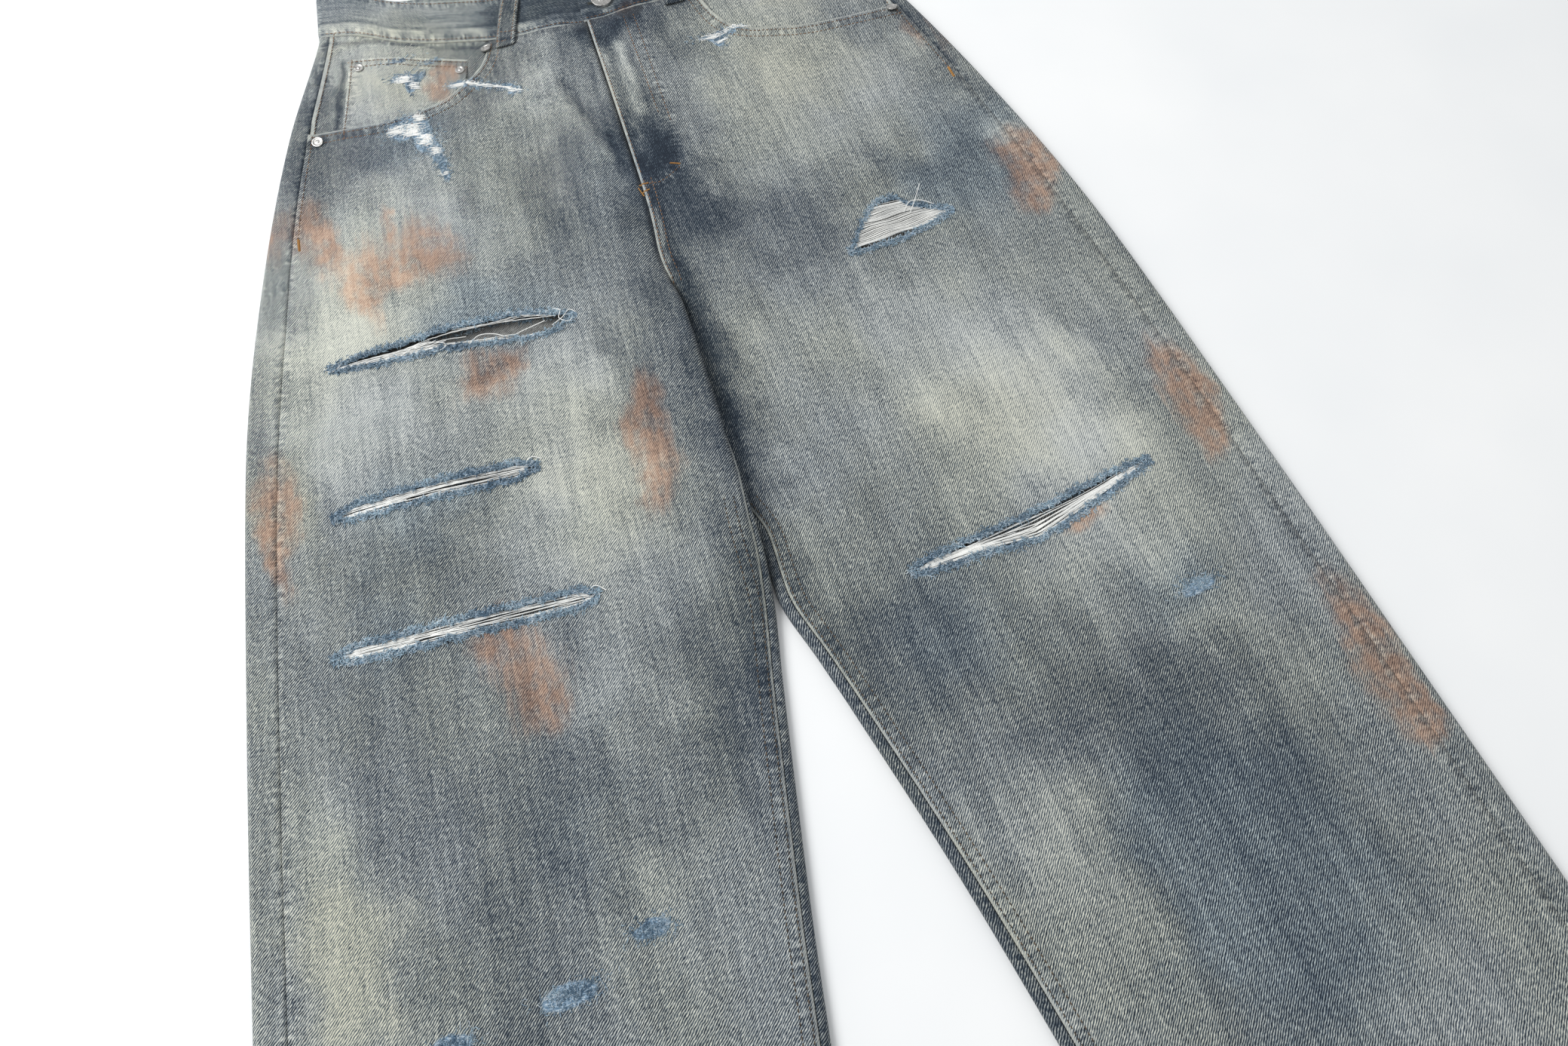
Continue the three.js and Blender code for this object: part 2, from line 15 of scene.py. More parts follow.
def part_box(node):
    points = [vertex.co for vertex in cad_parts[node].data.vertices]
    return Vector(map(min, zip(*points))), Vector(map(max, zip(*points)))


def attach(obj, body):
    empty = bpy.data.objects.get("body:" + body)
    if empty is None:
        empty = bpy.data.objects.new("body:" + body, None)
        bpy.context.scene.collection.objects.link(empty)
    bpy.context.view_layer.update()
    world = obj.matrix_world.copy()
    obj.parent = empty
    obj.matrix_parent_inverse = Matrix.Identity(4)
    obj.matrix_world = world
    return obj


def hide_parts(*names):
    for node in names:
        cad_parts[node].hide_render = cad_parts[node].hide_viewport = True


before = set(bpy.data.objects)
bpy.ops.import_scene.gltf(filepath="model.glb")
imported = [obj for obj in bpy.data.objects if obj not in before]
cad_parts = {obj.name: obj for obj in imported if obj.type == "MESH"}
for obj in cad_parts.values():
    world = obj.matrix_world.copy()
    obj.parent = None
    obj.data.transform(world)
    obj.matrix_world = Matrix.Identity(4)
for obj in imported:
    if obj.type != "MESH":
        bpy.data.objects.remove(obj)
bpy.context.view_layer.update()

MM = 0.001


def cad_box(node):
    """The node's lowest and highest corners, in millimetres."""
    low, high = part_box(node)
    return np.array(low) / MM, np.array(high) / MM


def cad_flat(node):
    """The node's length along x and y, in metres."""
    low, high = cad_box(node)
    return ((high - low)[:2] * MM).tolist()


# ---- Driving sizes of the garment, as in the part, in millimetres ----
# v is a share of a leg's length, from 0 at the band's seam to 1 at the hem; b is a distance across the leg.
CLOTH = 1.2
HALF = CLOTH / 2
SEAM_GAP = 0.4
SIDE_RISE = 55
BACK_RISE = 34
INNER_LENGTH = 986
SIDE_LENGTH = 1004
RISE = 261
BAND_HEIGHT = 46
BAND_WALL = 2.0
HEM_DEPTH = 14
FLY_LENGTH = 165
FLOOR = HALF
SEAT_LIFT = SEAM_GAP + CLOTH
FOLD_TOP = 7.4
INNER_TOP = 6.4
LEG_TOP = 5.4
SEAT_TOP = 8.8
FLY_TOP = 11.8
FOLD_REACH = 4.4
ROLL_LIFT = 8
RIDGE = 6
TUCK = 13
SEAM_Y = cad_box("waistband")[0][1] - SEAM_GAP
CROTCH_V = RISE / INNER_LENGTH
HEM_V = 1 - HEM_DEPTH / INNER_LENGTH
SIGN = {"right": -1, "left": 1}
INSEAM_IN = {"right": 5.2, "left": 6.6}
SIDES = ("right", "left")
SIDE_BOW = 7.0
# The right leg's rolled edge leans over the left leg, and hides both inseams until they come round on top.
OVERHANG = 5.0
WRAP = 12.0
HIDDEN_INSEAM = -4.0
INSEAM_SHOWS = {"right": (0.36, 0.48), "left": (0.345, 0.40)}


def lerp(a, b, t):
    return a + (b - a) * t


def ramp(x, start, end):
    """A smooth step from 0 at start to 1 at end."""
    t = np.clip((np.asarray(x, float) - start) / (end - start), 0, 1)
    return t * t * (3 - 2 * t)


def through(*knots):
    """A curve through (place, value) knots, as a function of the place."""
    pts = np.array([knots[0], *knots, knots[-1]], float)
    samples = []
    for a, b, c, d in zip(pts, pts[1:], pts[2:], pts[3:]):
        for t in np.linspace(0, 1, 10, endpoint=False):
            samples.append(0.5 * (2 * b + (c - a) * t + (2 * a - 5 * b + 4 * c - d) * t ** 2
                                  + (3 * b - a - 3 * c + d) * t ** 3))
    samples.append(pts[-1])
    xs, ys = np.array(samples).T
    return lambda x: np.interp(x, xs, ys)


side_fold_x = through((-100, 204), (-55, 208), (36, 244), (156, 278), (296, 307), (486, 329),
                      (686, 348), (950, 372))
inner_gap = through((476, 1.5), (496, 1.6), (512, 3.4), (543, 11.4), (559, 15.2), (586, 21.4), (676, 41),
                    (761, 57), (986, 98))
centre_x = through((0, -1), (176, -2), (236, -6), (286, -3), (456, -4.8), (506, -6), (543, -4.8),
                   (586, -3.6), (676, -1.5), (786, 0), (986, 0))
OUTSEAM_IN = {
    "right": through((-55, 9), (0, 13), (58, 16), (146, 19), (246, 22), (446, 20), (950, 18)),
    "left": through((-55, 7), (0, 9), (58, 12), (146, 15), (236, 18), (346, 19), (950, 16)),
}

# Ridges and troughs: the crest's (x, depth) places, its width and height.
CREASES = [
    ([(-78, 46), (-50, 116), (-30, 186)], 24, 3.0),
    ([(52, 26), (66, 96), (60, 176)], 17, -1.6),
    ([(105, 76), (120, 186), (112, 286)], 34, 2.0),
    ([(-150, 136), (-175, 286)], 40, 1.6),
    ([(-210, 316), (-190, 506), (-215, 686)], 36, 1.8),
    ([(70, 606), (110, 746), (150, 886)], 34, 1.8),
    ([(215, 316), (255, 506), (240, 686)], 36, 1.8),
    ([(-120, 706), (-140, 846)], 40, 1.6),
]
# Finer creases that only the finished cloth has.
SOFT_CREASES = [
    ([(17, 30), (17, 66), (15, 108)], 3.6, 0.9),
    ([(8, 30), (8, 66), (6, 104)], 3.0, -0.5),
    ([(-35, 54), (-26, 84), (-18, 111), (-12, 136), (-9, 158)], 4.5, -1.0),
    ([(-48, 46), (-39, 80), (-31, 110), (-23, 138)], 8, 1.1),
    ([(88, 2), (92, 40), (88, 110)], 7, -1.4),
    ([(104, 6), (108, 60), (102, 120)], 9, 0.9),
    ([(-48, 4), (-40, 60), (-30, 120)], 10, 0.9),
    ([(-92, 8), (-70, 60), (-56, 120)], 9, -0.8),
    ([(-36, 140), (-24, 200), (-18, 250)], 9, 1.0),
    ([(60, 196), (110, 236), (150, 262)], 16, 0.9),
    ([(-205, 60), (-190, 120), (-182, 180)], 14, 0.8),
    ([(36, 300), (60, 380), (58, 460)], 20, 0.9),
    ([(-70, 330), (-60, 420), (-74, 520)], 20, 0.8),
    ([(60, 520), (120, 560), (190, 570)], 18, 0.8),
    ([(-60, 560), (-120, 600), (-190, 610)], 18, 0.7),
    ([(250, 480), (262, 600), (258, 720)], 14, 0.8),
    ([(-262, 420), (-270, 540), (-262, 660)], 14, 0.8),
    ([(150, 640), (210, 700), (225, 800)], 22, 0.9),
]


def soft_lines(lines, x, y):
    """The sum of soft lines at (x, y); each is (places, half-width, amount)."""
    total = np.zeros(np.broadcast(x, y).shape)
    for places, half_width, amount in lines:
        nearest = np.full(total.shape, np.inf)
        for (ax, ay), (bx, by) in zip(places, places[1:]):
            span = (bx - ax) ** 2 + (by - ay) ** 2
            t = np.clip(((x - ax) * (bx - ax) + (y - ay) * (by - ay)) / span, 0, 1)
            nearest = np.minimum(nearest, np.hypot(x - lerp(ax, bx, t), y - lerp(ay, by, t)))
        total += amount * np.exp(-((nearest / half_width) ** 2))
    return total


def ripple(x, y, seed, wavelength):
    """Smooth noise of about -1 to 1, from a few crossed waves."""
    rng = np.random.default_rng(seed)
    total = 0
    for _ in range(7):
        angle = rng.uniform(0, 2 * math.pi)
        k = 2 * math.pi / (wavelength * rng.uniform(0.6, 1.7))
        total = total + np.sin(k * (x * math.cos(angle) + y * math.sin(angle)) + rng.uniform(0, 6.28))
    return total / 3.2


def roll_lift(depth):
    return ROLL_LIFT * ramp(depth, 248, 288) * ramp(depth, 518, 474)


def tuck(depth):
    return TUCK * ramp(depth, 286, 331) * ramp(depth, 464, 416)


def roll_share(b):
    return 1 - ramp(b, 20, 58)


CROTCH_TURN = 0.012


def legged(v):
    """0 above the crotch and 1 below it, turning over a short stretch."""
    return ramp(v, CROTCH_V - CROTCH_TURN, CROTCH_V + CROTCH_TURN)


class Row:
    """Rows across a leg at v, from the inner end to the side fold."""

    def __init__(self, side, v):
        self.side, self.v, self.sign = side, np.asarray(v, float), SIGN[side]
        self.depth = INNER_LENGTH * self.v
        self.side_depth = SIDE_LENGTH * self.v - SIDE_RISE
        half = lerp(SEAM_GAP / 2, inner_gap(np.maximum(486, self.depth)), legged(self.v))
        tucked = tuck(self.depth) if side == "left" else 0
        self.xi = centre_x(self.depth) + self.sign * half - tucked
        self.xo = self.sign * side_fold_x(self.side_depth)
        self.width = np.abs(self.xo - self.xi)

    def plan(self, b):
        """In-plane place, b millimetres from the inner end."""
        u = np.clip(b / self.width, 0, 1)
        bend = lerp(1.8, 1, ramp(self.v, 0, 0.3))
        y = SEAM_Y - lerp(self.depth, self.side_depth, u ** bend)
        if self.side == "right":
            y = y + SIDE_BOW * np.exp(-(((u - 0.86) / 0.12) ** 2)) * ramp(self.depth, 70, 0)
        return u, lerp(self.xi, self.xo, b / self.width), y

    def lower(self, b):
        _, _, y = self.plan(b)
        seat = SEAT_LIFT * ramp(SEAM_Y - y, 366, 271)
        rolled = roll_lift(self.depth) * roll_share(b) if self.side == "right" else 0
        return FLOOR + seat + rolled

    def upper(self, b, fine=True):
        _, x, y = self.plan(b)
        depth = SEAM_Y - y
        from_side = ramp(self.width - b, FOLD_REACH, 62)
        middle = lerp(SEAT_TOP, LEG_TOP, ramp(depth, 160, 420))
        edge = lerp(FOLD_TOP + 1.2, FOLD_TOP, ramp(depth, 160, 420))
        waist = ramp(depth, -20, 60)
        body = lerp(edge, middle, from_side) + soft_lines(CREASES, x, depth) * from_side * waist
        leg = legged(self.v)
        foot = lerp(lerp(FLY_TOP, SEAT_TOP, ramp(self.depth, FLY_LENGTH + 15, RISE - 10)), INNER_TOP, leg)
        near, far = lerp(32.0, FOLD_REACH, leg), lerp(70.0, 44.0, leg)
        t = np.clip((b - near) / (far - near), 0, 1)
        z = lerp(foot, body, t * t * (3 - 2 * t))
        if self.side == "right":
            crest = lerp(50, 24, ramp(self.depth, 46, 276))
            ridge = RIDGE * ramp(self.depth, 50, 246) * ramp(self.depth, 546, 450)
            z = z + roll_lift(self.depth) * roll_share(b) + ridge * np.exp(-(((b - crest) / 30) ** 2))
        if fine:
            calm = ramp(b, 2, 12) * ramp(self.width - b, 6, 34)
            wrinkle = soft_lines(SOFT_CREASES, x, depth) * ramp(depth, -10, 24)
            wrinkle = wrinkle + 0.35 * ripple(x, y, 3, 70) + 0.16 * ripple(x, y, 5, 26)
            z = z + wrinkle * calm
        return z


def lean(side, depth, b):
    """How far the right leg's rolled edge leans towards the left leg, b millimetres in."""
    if side == "left":
        return 0 * b
    swell = np.clip(b, 0, None) / 8 * np.exp(1 - np.clip(b, 0, None) / 8)
    return OVERHANG * swell * ramp(depth, 222, 292) * ramp(depth, 514, 460)


def on_top(side, v, b):
    r = Row(side, v)
    _, x, y = r.plan(b)
    return np.stack(np.broadcast_arrays(x + lean(side, r.depth, b), y, r.upper(b)), -1)


def below(side, v, b):
    r = Row(side, v)
    u, x, y = r.plan(b)
    climb = BACK_RISE * (1 - ramp(r.v, 0, CROTCH_V)) * ramp(1 - u, 0, 1)
    return np.stack(np.broadcast_arrays(x, y + climb, r.lower(b)), -1)


def fold(side, v, edge, share):
    """The turn between the layers at the side fold or the inner one: share 0 is on top, 1 below."""
    r = Row(side, v)
    start = r.width - FOLD_REACH if edge == "side" else FOLD_REACH + 0 * r.width
    angle = math.pi * share
    reach = FOLD_REACH * np.sin(angle) * r.sign * (1 if edge == "side" else -1)
    if edge == "inner":
        reach = reach + lean(side, r.depth, start) * (1 + np.cos(angle)) / 2
    _, x, y = r.plan(start)
    z = lerp(r.lower(start), r.upper(start), (1 + np.cos(angle)) / 2)
    return np.stack(np.broadcast_arrays(x + reach, y, z), -1)


# ---- Wash, stains, wear and painted shade: soft patches on the laid garment ----
# (x, y, half-width, half-height, amount), in millimetres. Amounts add to an even mid wash. Some dark patches
# are painted shade, such as the long one down the centre line beside the right leg's rolled crest.
MID_WASH = 0.445
WASH = [
    (-180, 440, 55, 32, 0.20), (-232, 255, 42, 75, 0.28), (-262, 165, 34, 70, 0.14),
    (-195, 150, 75, 38, 0.18), (-86, 130, 34, 62, 0.26), (-100, 40, 55, 75, 0.24),
    (-150, 320, 46, 40, 0.16), (-58, 395, 20, 60, 0.20), (-292, -185, 32, 85, 0.22),
    (-125, -185, 38, 45, 0.14), (135, 345, 55, 60, 0.20), (215, 320, 40, 50, 0.10),
    (190, 45, 78, 70, 0.34), (232, -18, 50, 36, 0.22), (120, 120, 45, 40, 0.10),
    (45, 150, 28, 62, 0.12), (30, -5, 26, 60, 0.12), (105, -235, 42, 95, 0.22),
    (215, -98, 60, 30, 0.16), (250, -375, 45, 50, 0.10), (-170, 500, 60, 26, 0.10),
    (160, 425, 60, 26, 0.14), (-285, 60, 26, 90, 0.05), (-205, 215, 60, 22, 0.16),
    (-145, 400, 24, 14, 0.14), (170, 205, 46, 22, 0.14), (285, 240, 20, 62, 0.12),
    (210, -52, 60, 32, 0.12), (-110, -80, 30, 22, 0.14), (-28, -210, 18, 60, 0.16),
    (-205, 82, 40, 22, 0.08), (325, -70, 18, 70, 0.08), (165, -300, 60, 40, 0.08),
    (-120, 268, 50, 34, 0.10), (-200, 285, 30, 24, 0.08), (130, 262, 70, 30, 0.07),
    # Darker patches. The first one, along the centre line, is painted shade beside the right leg's rolled
    # crest.
    (0, 100, 22, 210, -0.34), (-42, 110, 24, 85, -0.20), (14, 300, 26, 38, -0.62),
    (20, 446, 34, 22, -0.58), (-92, 440, 34, 22, -0.20), (-24, 424, 20, 40, -0.14),
    (36, 246, 30, 30, -0.34), (-62, 268, 36, 56, -0.22), (-185, 372, 62, 30, -0.20),
    (-215, 40, 55, 34, -0.16), (-40, -110, 42, 62, -0.30), (-190, -150, 58, 72, -0.22),
    (-110, -165, 40, 22, -0.12), (90, 205, 62, 42, -0.22), (214, 232, 62, 20, -0.20),
    (66, -110, 62, 52, -0.26), (176, -190, 72, 52, -0.24), (232, -275, 44, 85, -0.20),
    (95, -185, 40, 30, -0.10), (150, -285, 50, 52, -0.18), (272, 70, 28, 90, -0.08),
    (250, 250, 24, 60, -0.10), (-240, 360, 22, 60, -0.20), (-215, 440, 16, 40, -0.36),
    (-20, 480, 60, 26, -0.28), (-58, 470, 16, 30, -0.20), (60, 430, 26, 26, -0.26),
    (-260, -60, 40, 50, -0.10), (-175, -20, 80, 14, -0.10), (262, 350, 16, 60, -0.26),
    (205, 388, 60, 26, -0.16), (-155, 165, 26, 14, -0.14), (-50, 335, 40, 40, -0.10),
    (45, -20, 50, 30, -0.08), (170, -370, 50, 40, -0.10), (-78, 112, 22, 40, -0.16),
    (-286, 160, 18, 30, -0.14), (-135, 162, 36, 16, -0.12), (-105, 402, 34, 16, -0.14),
    (-118, 318, 24, 20, -0.12), (212, 200, 36, 22, -0.12), (42, 158, 16, 26, -0.14),
    (-202, -246, 30, 22, -0.12), (112, -162, 34, 20, -0.10), (242, -118, 18, 14, -0.16),
    (246, -158, 26, 16, 0.14), (-216, -158, 30, 20, 0.08), (282, 130, 18, 60, 0.06),
    (322, -70, 14, 60, 0.06), (-262, 276, 20, 22, -0.10), (240, 240, 22, 18, 0.10),
    (-40, 280, 14, 20, 0.08), (92, -285, 30, 30, -0.08), (206, -350, 26, 30, -0.08),
    (246, 350, 14, 26, -0.08), (146, 318, 26, 26, -0.06), (-80, 402, 24, 16, -0.09),
    (40, 402, 20, 18, -0.10), (-120, 188, 24, 34, -0.08), (0, -80, 20, 24, -0.10),
    (280, 0, 18, 24, -0.09), (322, 30, 14, 36, 0.09), (242, -200, 26, 20, 0.08),
    (276, -190, 20, 20, 0.05), (-280, 244, 18, 20, -0.06), (100, 242, 30, 20, 0.06),
    (286, 242, 14, 24, 0.07), (0, 322, 16, 20, -0.06), (-40, 20, 18, 30, -0.07),
]
# Rust-brown dye stains, as groups of brush-like blots.
RUST = [
    (-207, 266, 22, 28, 0.80), (-166, 276, 16, 28, 0.90), (-150, 256, 14, 24, 0.55),
    (-210, 238, 13, 24, 0.60), (-187, 300, 5, 18, 0.60), (-184, 264, 20, 13, 0.55),
    (-238, 314, 15, 30, 0.85), (-266, 318, 12, 26, 0.70), (-232, 290, 10, 20, 0.50),
    (-148, 156, 20, 24, 0.75), (-126, 160, 14, 20, 0.62), (-40, 105, 8, 28, 0.45),
    (-53, 58, 16, 38, 0.90), (-46, 88, 11, 26, 0.65), (-292, 104, 14, 38, 0.75),
    (-296, 64, 9, 28, 0.55), (-164, -48, 20, 38, 0.75), (-150, -72, 18, 20, 0.60),
    (-176, -20, 14, 16, 0.50), (-117, 431, 16, 12, 0.85), (-128, 412, 8, 12, 0.60),
    (240, 350, 8, 22, 0.50), (262, 350, 8, 34, 0.40), (264, 205, 16, 28, 0.85),
    (284, 208, 12, 30, 0.85), (272, 178, 12, 18, 0.70), (296, 2, 14, 38, 0.95), (310, 0, 10, 32, 0.75),
    (300, -38, 9, 20, 0.65), (325, -196, 16, 46, 1.0), (332, -240, 9, 20, 0.60),
    (196, -66, 18, 9, 0.80), (206, -58, 10, 8, 0.5), (32, 450, 10, 8, 0.4),
]
# Exposed blue and white yarn where the cloth is worn but not cut through.
FRAYS = [
    (-160, 388, 12, 10, 1.0), (-146, 374, 8, 16, 1.0), (-138, 352, 5, 14, 0.8), (-137, 334, 3, 8, 0.7),
    (-114, 418, 7, 3, 0.9), (-105, 416, 7, 3, 0.9), (-96, 411, 7, 2.6, 0.9), (-87, 406, 7, 2.6, 0.9),
    (-78, 401, 7, 3, 0.9), (-70, 395, 6, 4, 0.9), (-152, 440, 10, 4, 0.8), (-145, 431, 5, 9, 0.8),
    (-138, 436, 5, 4, 0.6), (-150, 458, 12, 2, 0.45), (-128, 448, 10, 2, 0.5), (98, 402, 20, 3.5, 0.9),
    (95, 396, 5, 7, 0.9), (243, -129, 13, 5, 0.9), (-129, -214, 13, 6, 0.9), (-178, -232, 17, 6, 1.0),
    (-245, -236, 14, 5, 0.9),
]
# Yellowed cloth, and bluer cloth where the amount is below 0.
BEIGE = [
    (-150, 440, 62, 26, 0.6), (-170, 488, 60, 14, 0.6), (-290, -185, 34, 60, 0.9),
    (-110, 470, 40, 14, 0.5), (170, 20, 80, 40, 0.5), (-282, 100, 24, 40, 0.8), (140, 350, 70, 50, 0.7),
    (-30, 468, 30, 12, 0.5), (100, -270, 44, 90, 0.5), (-70, 60, 40, 70, 0.5), (170, 425, 60, 24, 0.6),
    (20, 110, 34, 60, 0.4), (-160, 372, 50, 30, -0.8), (-130, 205, 50, 34, -0.9),
    (-210, 70, 50, 34, -0.7), (-236, -4, 34, 28, -0.6), (225, 210, 54, 44, -0.9),
    (90, -110, 44, 50, -0.7), (200, -300, 54, 90, -0.7), (236, -120, 34, 30, -0.6),
    (-160, -150, 40, 40, -0.4), (10, 436, 40, 20, -0.4), (250, 260, 40, 40, -0.6),
    (-20, 300, 40, 70, -0.4), (20, 290, 30, 40, -0.3), (210, -290, 90, 80, -0.6),
    (165, -235, 40, 34, -0.4),
]
# Pale lines on fold crests and ridges, and painted shade as dark lines in creases, at the fly, under the
# band's lower edge, beside the coin pocket's left edge and beside the right leg's rolled crest: (places,
# half-width, amount added to the wash).
WORN_LINES = [
    ([(17, 414), (17, 380), (16, 342)], 4.6, 0.30), ([(2.5, 412), (0, 380), (-1, 346)], 1.8, 0.24),
    ([(9, 418), (8, 380), (6, 345)], 2.6, -0.16), ([(24, 412), (23, 370), (24, 340)], 2.4, -0.14),
    ([(-34, 392), (-26, 362), (-18, 335), (-12, 310), (-9, 288)], 3.0, -0.22),
    ([(-46, 400), (-38, 366), (-30, 336), (-22, 310)], 6.0, 0.10),
    ([(-9, 440), (-11, 400), (-12, 340), (-12, 290)], 2.6, -0.14),
    ([(0, 264), (1, 240), (1, 205)], 1.6, 0.42),
    ([(-3.5, 268), (-4, 240), (-5, 212)], 1.8, -0.30), ([(6, 266), (5, 240), (2, 200)], 3.0, -0.22),
    # Painted shade on the left leg beside the right leg's rolled crest.
    ([(5, 205), (6, 150), (5, 90), (4, 30)], 5.0, -0.20),
    # Painted shadows under the band's lower edge, and beside the coin pocket's left edge.
    ([(-205, 494), (-160, 483), (-120, 461), (-95, 453), (-60, 448), (-30, 442), (-4, 437)], 1.4, -0.36),
    ([(0, 446), (23, 442), (60, 445), (110, 452)], 1.4, -0.36),
    ([(-193, 470), (-200, 436), (-208, 405)], 2.6, -0.40),
    ([(30, 283), (20, 277), (10, 273), (0, 275)], 2.2, 0.20), ([(34, 296), (44, 270), (48, 250)], 4.0, 0.16),
    ([(5, 335), (11, 322), (5, 310), (11, 298), (5, 288)], 1.6, 0.24),
    ([(-236, 398), (-180, 391), (-140, 402), (-113, 420)], 2.0, -0.12),
]


def painted(patches, x, y, sharp=1.0, wander=9.0):
    """The sum of soft patches at (x, y), with edges that wander like real dye."""
    px = x + wander * ripple(x, y, 11, 55) + 0.4 * wander * ripple(x, y, 12, 18)
    py = y + wander * ripple(x, y, 13, 60) + 0.4 * wander * ripple(x, y, 14, 20)
    total = np.zeros(np.shape(x))
    for cx, cy, rx, ry, amount in patches:
        q = ((px - cx) / rx) ** 2 + ((py - cy) / ry) ** 2
        total += amount * np.exp(-(q ** sharp))
    return total


# Wash and painted shade together: the mid wash plus the patches and soft lines above.
def wash_at(x, y):
    return MID_WASH + painted(WASH, x, y, 1.0, 12) + soft_lines(WORN_LINES, x + 1.2 * ripple(x, y, 41, 24), y)


def beige_at(x, y):
    return np.clip(painted(BEIGE, x, y, 1.2, 10), -1, 1)


def rust_at(x, y):
    return np.clip(painted(RUST, x, y, 1.3, 5), 0, 1)


def fray_at(x, y):
    return np.clip(painted(FRAYS, x, y, 1.6, 2.0), 0, 1)


# ---- Shader parts ----
def new_group(name, inputs, outputs):
    """A shader node group; inputs are (name, type, default)."""
    tree = bpy.data.node_groups.new(name, "ShaderNodeTree")
    for label, kind, default in inputs:
        socket = tree.interface.new_socket(name=label, in_out="INPUT", socket_type="NodeSocket" + kind)
        if default is not None:
            socket.default_value = default
    for label, kind in outputs:
        tree.interface.new_socket(name=label, in_out="OUTPUT", socket_type="NodeSocket" + kind)
    return tree, tree.nodes.new("NodeGroupInput").outputs, tree.nodes.new("NodeGroupOutput").inputs


class Wires:
    """Short hand for adding and joining nodes in one tree."""

    def __init__(self, tree):
        self.tree = tree

    def node(self, kind, **settings):
        made = self.tree.nodes.new("ShaderNode" + kind)
        for key, value in settings.items():
            setattr(made, key, value)
        return made

    def feed(self, socket, value):
        if isinstance(value, bpy.types.NodeSocket):
            self.tree.links.new(value, socket)
        elif value is not None:
            socket.default_value = value

    def math(self, operation, a, b=None, c=None, clamp=False):
        made = self.node("Math", operation=operation, use_clamp=clamp)
        for socket, value in zip(made.inputs, (a, b, c)):
            self.feed(socket, value)
        return made.outputs[0]

    def times(self, a, b):
        return self.math("MULTIPLY", a, b)

    def plus(self, a, b):
        return self.math("ADD", a, b)

    def mix(self, factor, a, b, blend="MIX"):
        made = self.node("Mix", data_type="RGBA", blend_type=blend)
        for index, value in ((0, factor), (6, a), (7, b)):
            self.feed(made.inputs[index], value)
        return made.outputs[2]

    def span(self, value, low, high, to_low=0.0, to_high=1.0):
        """Smoothly maps low..high to to_low..to_high."""
        made = self.node("MapRange", interpolation_type="SMOOTHSTEP")
        for socket, v in zip(made.inputs, (value, low, high, to_low, to_high)):
            self.feed(socket, v)
        return made.outputs[0]

    def noise(self, vector, scale, detail=2.0, rough=0.5, kind="3D"):
        made = self.node("TexNoise", noise_dimensions=kind)
        self.feed(made.inputs["Vector"], vector)
        for key, value in (("Scale", scale), ("Detail", detail), ("Roughness", rough)):
            self.feed(made.inputs[key], value)
        return made.outputs["Fac"]

    def stretch(self, vector, scale):
        made = self.node("Mapping")
        self.feed(made.inputs["Vector"], vector)
        made.inputs["Scale"].default_value = scale
        return made.outputs[0]

    def grain(self, uv, across, along, detail=2.0, rough=0.5):
        """Noise drawn out along the cloth or across it."""
        return self.noise(self.stretch(uv, (across, along, 1)), 1.0, detail, rough)

    def ramp(self, value, stops):
        made = self.node("ValToRGB")
        elements = made.color_ramp.elements
        while len(elements) < len(stops):
            elements.new(0.5)
        for element, (place, colour) in zip(elements, stops):
            element.position = place
            element.color = linear(colour)
        self.feed(made.inputs[0], value)
        return made.outputs[0]


def linear(rgb):
    """A colour given as 0-255 screen values, as linear light with alpha."""
    return tuple(c / 12.92 if c <= 0.04045 else ((c + 0.055) / 1.055) ** 2.4
                 for c in (v / 255 for v in rgb)) + (1.0,)


TWILL_ANGLE = math.radians(47)


def twill_group():
    """Right-hand twill on a UV map in metres: dark and light yarn floats in broken diagonal lines."""
    tree, given, out = new_group("twill", [("UV", "Vector", None), ("Pitch", "Float", 1.27)],
                                 [("Ridge", "Float"), ("Slub", "Float"), ("Cross", "Float")])
    w = Wires(tree)
    split = w.node("SeparateXYZ")
    w.feed(split.inputs[0], given["UV"])
    across = w.times(split.outputs[0], 1000.0)
    along = w.times(split.outputs[1], 1000.0)
    wobble = w.grain(given["UV"], 260, 260, 2.0)
    rise, reach = math.sin(TWILL_ANGLE), math.cos(TWILL_ANGLE)
    run = w.math("SUBTRACT", w.times(across, rise), w.times(along, reach))
    phase = w.plus(w.math("DIVIDE", run, given["Pitch"]), w.times(wobble, 1.1))
    line = w.math("MULTIPLY_ADD", w.math("SINE", w.times(phase, 2 * math.pi)), 0.5, 0.5)
    slub = w.grain(given["UV"], 820, 30, 3.0, 0.65)
    cross = w.grain(given["UV"], 34, 760, 3.0, 0.6)
    slant = w.node("CombineXYZ")
    w.feed(slant.inputs[0], run)
    w.feed(slant.inputs[1], w.math("MULTIPLY_ADD", across, reach, w.times(along, rise)))
    floats = w.noise(w.stretch(slant.outputs[0], (1.0, 0.42, 1)), 1.0, 1.0, 0.5)
    broken = w.plus(w.span(line, 0.15, 0.85), w.times(w.math("SUBTRACT", floats, 0.5), 1.7))
    w.feed(out["Ridge"], w.math("MULTIPLY_ADD", w.math("SUBTRACT", broken, 0.5), 0.62, 0.5, clamp=True))
    w.feed(out["Slub"], slub)
    w.feed(out["Cross"], cross)
    return tree


